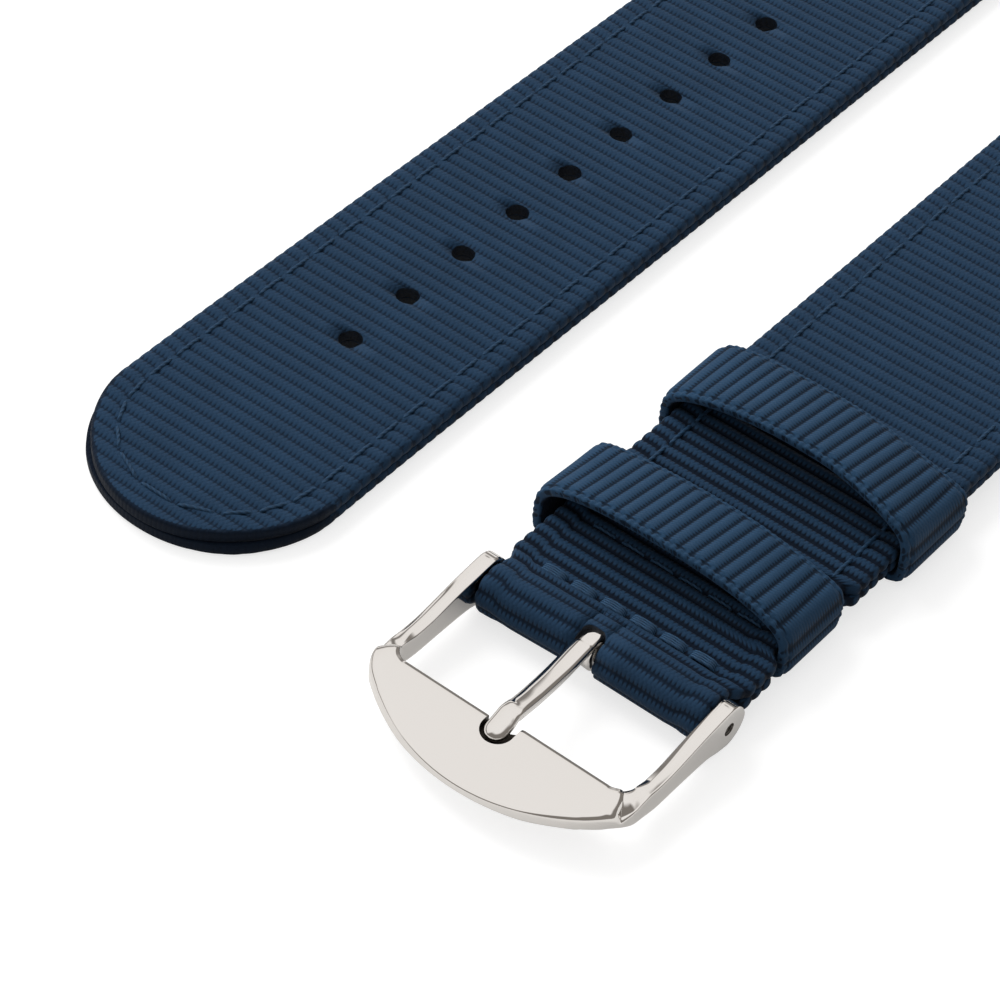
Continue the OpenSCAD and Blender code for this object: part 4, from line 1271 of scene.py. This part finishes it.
def loft(name, ring, rows, place):
    """A tube with closed ends: ring is a list of section corners, place(corner, row) its point."""
    bm = bmesh.new()
    bm.loops.layers.uv.new("weave")
    sides = len(ring)
    bmesh.ops.create_grid(bm, x_segments=sides, y_segments=rows, size=0.5, calc_uvs=True)
    for corner in bm.verts:
        k = round((corner.co.x + 0.5) * sides) % sides
        j = round((corner.co.y + 0.5) * rows)
        corner.co = Vector(place(ring[k], j)) * MM
    for patch in bm.faces:
        patch.smooth = True
    close_up(bm, STEEL_SAME_PLACE)
    piece = make_object(name, bm)
    piece.data.materials.append(polished_steel)
    return piece


def even_polish(piece):
    """Large faces set the normals, so that flats stay flat and only the narrow edges turn."""
    normals = piece.modifiers.new("even_polish", "WEIGHTED_NORMAL")
    normals.mode = "FACE_AREA"
    normals.weight = 50
    normals.keep_sharp = True


def right_of_rest(x, y):
    """The plate's back edge lies a little further back on the right of the rest than on its left."""
    return 0.5 * ease(0.3, 1.4, x) * ease(-7.0, -10.0, y) * ease(-14.0, -11.0, y)


def frame_point(corner, j):
    x, y, z = frame_corner(corner[0], corner[1], j)
    y += right_of_rest(x, y)
    return HEAD_X + x, BUCKLE_BAR.y + y, BUCKLE_BAR.z + z


buckle = loft("polished_buckle", SECTION, len(FRAME_ROWS) - 1, frame_point)

# %% [markdown]
# Two cuts finish the frame: the holes through the ears for the bar's tips, and the rounded rest in
# the plate's back edge, where the tongue's nose lies. The rest's wall is a dull, dark steel that
# paints the shade in the rest.

# %% Ear holes and the tongue's rest
EAR_HOLE_D = 1.0
REST_R = 1.2
REST_Y = -PLATE_BACK - 0.65
REST_FLOOR = 0.75


def ear_holes(bm):
    sideways = Matrix.Rotation(math.pi / 2, 4, "Y")
    for side in (-1, 1):
        place = Matrix.Translation((HEAD_X + side * (INNER + ARM_T / 2), BUCKLE_BAR.y, BUCKLE_BAR.z))
        bmesh.ops.create_cone(bm, cap_ends=True, segments=40, radius1=EAR_HOLE_D / 2,
                              radius2=EAR_HOLE_D / 2, depth=2 * ARM_T, matrix=place @ sideways)


def tongue_rest(bm):
    """A round cutter whose back half is drawn out behind the plate."""
    place = Matrix.Translation((HEAD_X, BUCKLE_BAR.y + REST_Y, BUCKLE_BAR.z + REST_FLOOR + 1.5))
    made = bmesh.ops.create_cone(bm, cap_ends=True, segments=64, radius1=REST_R, radius2=REST_R,
                                 depth=3.0, matrix=place)
    for corner in made["verts"]:
        if corner.co.y > BUCKLE_BAR.y + REST_Y + 0.01:
            corner.co.y += 3.0


work(buckle, cutter("ear_holes", ear_holes, polished_steel), "DIFFERENCE", "EXACT")
# The rest's wall and floor take the dark steel as painted shade.
work(buckle, cutter("rest_cut", tongue_rest, shade_painted_steel), "DIFFERENCE", "EXACT")
even_polish(buckle)
hand_over(buckle, "buckle_frame", "polished_stainless_steel", "buckle_frame")

# %% [markdown]
# The tongue is a strip that is curled round the bar at one end, humps up before the plate and bends
# down into its rest. Its top is ground to facets that run its whole length, and its nose is beaten
# out to a rounded lobe, whose beginning crosses the facets in a slanting crease.

# %% Tongue
TONGUE_HALF = 0.76
NOSE_HALF = 0.86
TONGUE_T = 0.8
EYE_T = 0.72
EYE_IN = BARREL_R + BAR_PLAY
EYE_MID = EYE_IN + EYE_T / 2
TIP_REACH = PLATE_BACK + 1.6
TIP_Z = REST_FLOOR + 0.05 + TONGUE_T / 2
NOSE_LENGTH = 2.9
NOSE_TILT = 0.45
TONGUE_ASKEW = 0.6
CURL_TURN = 312


def spline(points, per_span=10):
    """A smooth line through points."""
    made = []
    n = len(points) - 1
    for i in range(n):
        a, b = points[max(i - 1, 0)], points[i]
        c, d = points[i + 1], points[min(i + 2, n)]
        for k in range(per_span):
            t = k / per_span
            made.append(0.5 * (2 * b + (c - a) * t + (2 * a - 5 * b + 4 * c - d) * t * t
                               + (3 * b - 3 * c + d - a) * t ** 3))
    return made + [points[-1]]


knots = [Vector(p) for p in ((0.0, EYE_IN + EYE_T - TONGUE_T / 2), (-2.0, 1.16), (-4.5, 1.12),
                             (-7.3, 1.45), (-PLATE_BACK + 1, 1.85), (-PLATE_BACK - 0.1, 1.66),
                             (-TIP_REACH, TIP_Z))]
curl = [turned(EYE_MID, math.radians(90 - CURL_TURN * k / 44)) for k in range(1, 45)]
tongue_line = spline(knots)[::-1] + curl
TONGUE = split_line(tongue_line, round(line_length(tongue_line) / 0.1))
TONGUE_STEP = line_length(TONGUE) / (len(TONGUE) - 1)

# %% [markdown]
# A corner of the tongue's section is given twice: as a facet's edge on the shaft and as a point of
# the nose's rounded lobe, both as shares of the half width and of half the thickness.

# %% Tongue mesh
TONGUE_RING = [((-1, -0.7), (-0.95, -0.5)), ((-1, 0.05), (-1, 0.0)), ((-0.98, 0.14), (-0.95, 0.35)),
               ((-0.66, 0.5), (-0.8, 0.66)), ((-0.6, 0.58), (-0.62, 0.84)), ((-0.35, 0.78), (-0.38, 0.98)),
               ((-0.29, 0.82), (-0.15, 1.04)), ((0.2, 0.93), (0.12, 1.05)), ((0.68, 1.0), (0.45, 0.96)),
               ((0.76, 0.96), (0.7, 0.78)), ((0.97, 0.62), (0.88, 0.52)), ((1, 0.5), (1, 0.1)),
               ((1, -0.7), (0.95, -0.5)), ((0.82, -1), (0.7, -0.85)), ((0.0, -1), (0.0, -0.98)),
               ((-0.82, -1), (-0.7, -0.85))]


def tongue_point(corner, j):
    at = TONGUE[j]
    before, later = TONGUE[max(j - 1, 0)], TONGUE[min(j + 1, len(TONGUE) - 1)]
    way = (later - before).normalized()
    out = Vector((-way.y, way.x))
    far = j * TONGUE_STEP
    (sx, sz), (nx, nz) = corner
    start = NOSE_LENGTH - NOSE_TILT * sx
    nose = ease(start + 0.2, start - 0.25, far)
    lobe = ease(start + 0.1, start - 1.0, far)
    x = sx * TONGUE_HALF + (nx * (TONGUE_HALF + (NOSE_HALF - TONGUE_HALF) * lobe) - sx * TONGUE_HALF) * nose
    swell = 1 + 0.1 * nose
    z = (sz + (nz * swell - sz) * nose) * (TONGUE_T if at.x < -1.5 else EYE_T) / 2
    if far < NOSE_HALF:
        end = math.sqrt(max(0.0, 1 - (1 - far / NOSE_HALF) ** 2))
        x, z = x * max(end, 0.02), z * max(end, 0.02) ** 0.6
    flat = at + out * z
    askew = TONGUE_ASKEW * ease(-TIP_REACH + 1.0, 0.0, flat.x)
    return HEAD_X + x - askew, BUCKLE_BAR.y + flat.x, BUCKLE_BAR.z + flat.y


tongue = loft("polished_tongue", TONGUE_RING, len(TONGUE) - 1, tongue_point)
even_polish(tongue)
hand_over(tongue, "buckle_tongue", "polished_stainless_steel", "buckle_tongue")

# %% [markdown]
# The spring bars keep their CAD shapes: a barrel with rolled ends, a coil spring inside and a
# plunger at each end. Only their finish is set here. The buckle bar's plungers, whose tips sit in
# the ear holes, get the dark steel that paints the shade there.

# %% Finish of the spring bars
for name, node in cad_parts.items():
    if "_bar_" in name:
        finish = spring_wire if name.endswith("spring") else turned_steel
        node.data.materials.clear()
        # The buckle bar's plungers, deep in the ear holes, take the dark steel as painted shade.
        node.data.materials.append(shade_painted_steel if name.startswith("buckle_bar_plunger") else finish)

# %% [markdown]
# The camera stands where the photographer's stood: in front of the buckle and to its right, looking
# down at about 44 degrees through a long lens, and rolled a little. It aims at a place beside the
# tail half's first hole. Distances are in millimetres.

# %% Camera
AZIMUTH = math.radians(33.79)
ELEVATION = math.radians(44.33)
DISTANCE = 256.15
ROLL = math.radians(6.56)
LENS = 131.92
AIM_ASIDE, AIM_AHEAD = 17.05, 3.88
AIM = Vector((TAIL_X + AIM_ASIDE, TIP_Y + FIRST_HOLE - AIM_AHEAD, 0.0))
back = Vector((math.sin(AZIMUTH) * math.cos(ELEVATION), -math.cos(AZIMUTH) * math.cos(ELEVATION),
               math.sin(ELEVATION)))
camera_data = bpy.data.cameras.new("camera")
camera_data.lens = LENS
camera_data.sensor_width = 36.0
camera_data.clip_start = 0.01
camera_data.clip_end = 10.0
camera = put("camera", camera_data)
camera.location = (AIM + back * DISTANCE) * MM
camera.rotation_mode = "QUATERNION"
facing = (-back).to_track_quat("-Z", "Y")
camera.rotation_quaternion = facing @ Matrix.Rotation(ROLL, 3, "Z").to_quaternion()
bpy.context.scene.camera = camera

# %% [markdown]
# The set is a plain white table. It glows a little for the camera, so that it comes out white while
# the soft shadows stay, and less for mirror rays, which see it as pale grey.

# %% Floor
TABLE_HALF = 3.0


def white_floor():
    material, tree = new_material("white_table")
    path = add(tree, "LightPath")
    mirrored = add(tree, "Math", {0: path.outputs["Is Glossy Ray"], 1: 0.2}, operation="MULTIPLY")
    seen = add(tree, "Math", {0: path.outputs["Is Camera Ray"], 1: 0.7, 2: mirrored},
               operation="MULTIPLY_ADD")
    shade = add(tree, "Mix", {0: path.outputs["Is Glossy Ray"], 6: colour("#b0b0b0"),
                              7: colour("#cfcdca")}, data_type="RGBA")
    paper = add(tree, "BsdfDiffuse", {"Color": shade.outputs[2]})
    glow = add(tree, "Emission", {"Color": (1.0, 1.0, 1.0, 1.0), "Strength": seen})
    finish_surface(tree, add(tree, "AddShader", {0: paper, 1: glow}))
    return material


bm = bmesh.new()
bmesh.ops.create_grid(bm, x_segments=1, y_segments=1, size=TABLE_HALF)
table = make_object("table", bm)
table.data.materials.append(white_floor())

# %% [markdown]
# The background is white for the camera. Other rays meet soft room light, brighter from the left.
# Polished steel shows what surrounds it, so mirror rays see a studio: white above and low behind
# the table, with a dark gap between the two, and dark on the right and on the camera's side, where
# no light stands.

# %% World
BEHIND = (-math.sin(AZIMUTH), math.cos(AZIMUTH), 0.0)
TO_THE_RIGHT = (math.cos(AZIMUTH), math.sin(AZIMUTH), 0.0)

world = bpy.data.worlds.new("studio")
bpy.context.scene.world = world
world.use_nodes = True
tree = world.node_tree
tree.nodes.clear()
path = add(tree, "LightPath")
way = add(tree, "TexCoord").outputs["Generated"]
height = add(tree, "SeparateXYZ", {0: way}).outputs[2]
behind = add(tree, "VectorMath", {0: way, 1: BEHIND}, operation="DOT_PRODUCT").outputs["Value"]
right = add(tree, "VectorMath", {0: way, 1: TO_THE_RIGHT}, operation="DOT_PRODUCT").outputs["Value"]

band = add(tree, "ValToRGB", {0: height})
ramp = band.color_ramp.elements
ramp[0].color, ramp[1].color = colour("#fbf8f5"), colour("#fbf9f7")
for position, hex_text in ((0.17, "#f4f1ee"), (0.24, "#807c78"), (0.36, "#8b8783"), (0.46, "#f7f4f1")):
    ramp.new(position).color = colour(hex_text)
front_dark = add(tree, "MapRange", {0: behind, 1: -0.3, 2: -0.06, 3: 1.0, 4: 0.0},
                 interpolation_type="SMOOTHSTEP")
below_top = add(tree, "MapRange", {0: height, 1: 0.82, 2: 0.95, 3: 1.0, 4: 0.0},
                interpolation_type="SMOOTHSTEP")
front_dark = add(tree, "Math", {0: front_dark, 1: below_top}, operation="MULTIPLY")
right_dark = add(tree, "MapRange", {0: right, 1: 0.2, 2: 0.45, 3: 0.0, 4: 1.0},
                 interpolation_type="SMOOTHSTEP")
below_half = add(tree, "MapRange", {0: height, 1: 0.52, 2: 0.68, 3: 1.0, 4: 0.0},
                 interpolation_type="SMOOTHSTEP")
right_dark = add(tree, "Math", {0: right_dark, 1: below_half}, operation="MULTIPLY")
dark = add(tree, "Math", {0: front_dark, 1: right_dark}, operation="MAXIMUM")
mirrored = add(tree, "Mix", {0: dark, 6: band.outputs[0], 7: colour("#827d78")}, data_type="RGBA")

across = add(tree, "SeparateXYZ", {0: way}).outputs[0]
softness = add(tree, "MapRange", {0: across, 1: -0.5, 2: 0.8, 3: 0.95, 4: 0.3},
               interpolation_type="SMOOTHSTEP")
room = add(tree, "Background", {"Color": (1.0, 0.995, 0.99, 1.0), "Strength": softness})
studio = add(tree, "Background", {"Color": mirrored.outputs[2], "Strength": 1.0})
white = add(tree, "Background", {"Color": (1.0, 1.0, 1.0, 1.0), "Strength": 1.0})
lit = add(tree, "MixShader", {0: path.outputs["Is Glossy Ray"], 1: room, 2: studio})
seen = add(tree, "MixShader", {0: path.outputs["Is Camera Ray"], 1: lit, 2: white})
tree.links.new(seen.outputs[0], add(tree, "OutputWorld").inputs["Surface"])

# %% [markdown]
# One large soft box stands on the left. Mirror rays don't see it, because its bright square would
# lie across the buckle's plate.

# %% Soft box
LAMP_PLACE = Vector((-0.55, 0.14, 0.5))
soft_box = bpy.data.lights.new("window_light", "AREA")
soft_box.size = 0.45
soft_box.energy = 4.2
lamp = put("window_light", soft_box)
lamp.location = LAMP_PLACE
lamp.rotation_mode = "QUATERNION"
lamp.rotation_quaternion = (-LAMP_PLACE).to_track_quat("-Z", "Y")
lamp.visible_glossy = False

bpy.context.scene.view_settings.view_transform = "Standard"
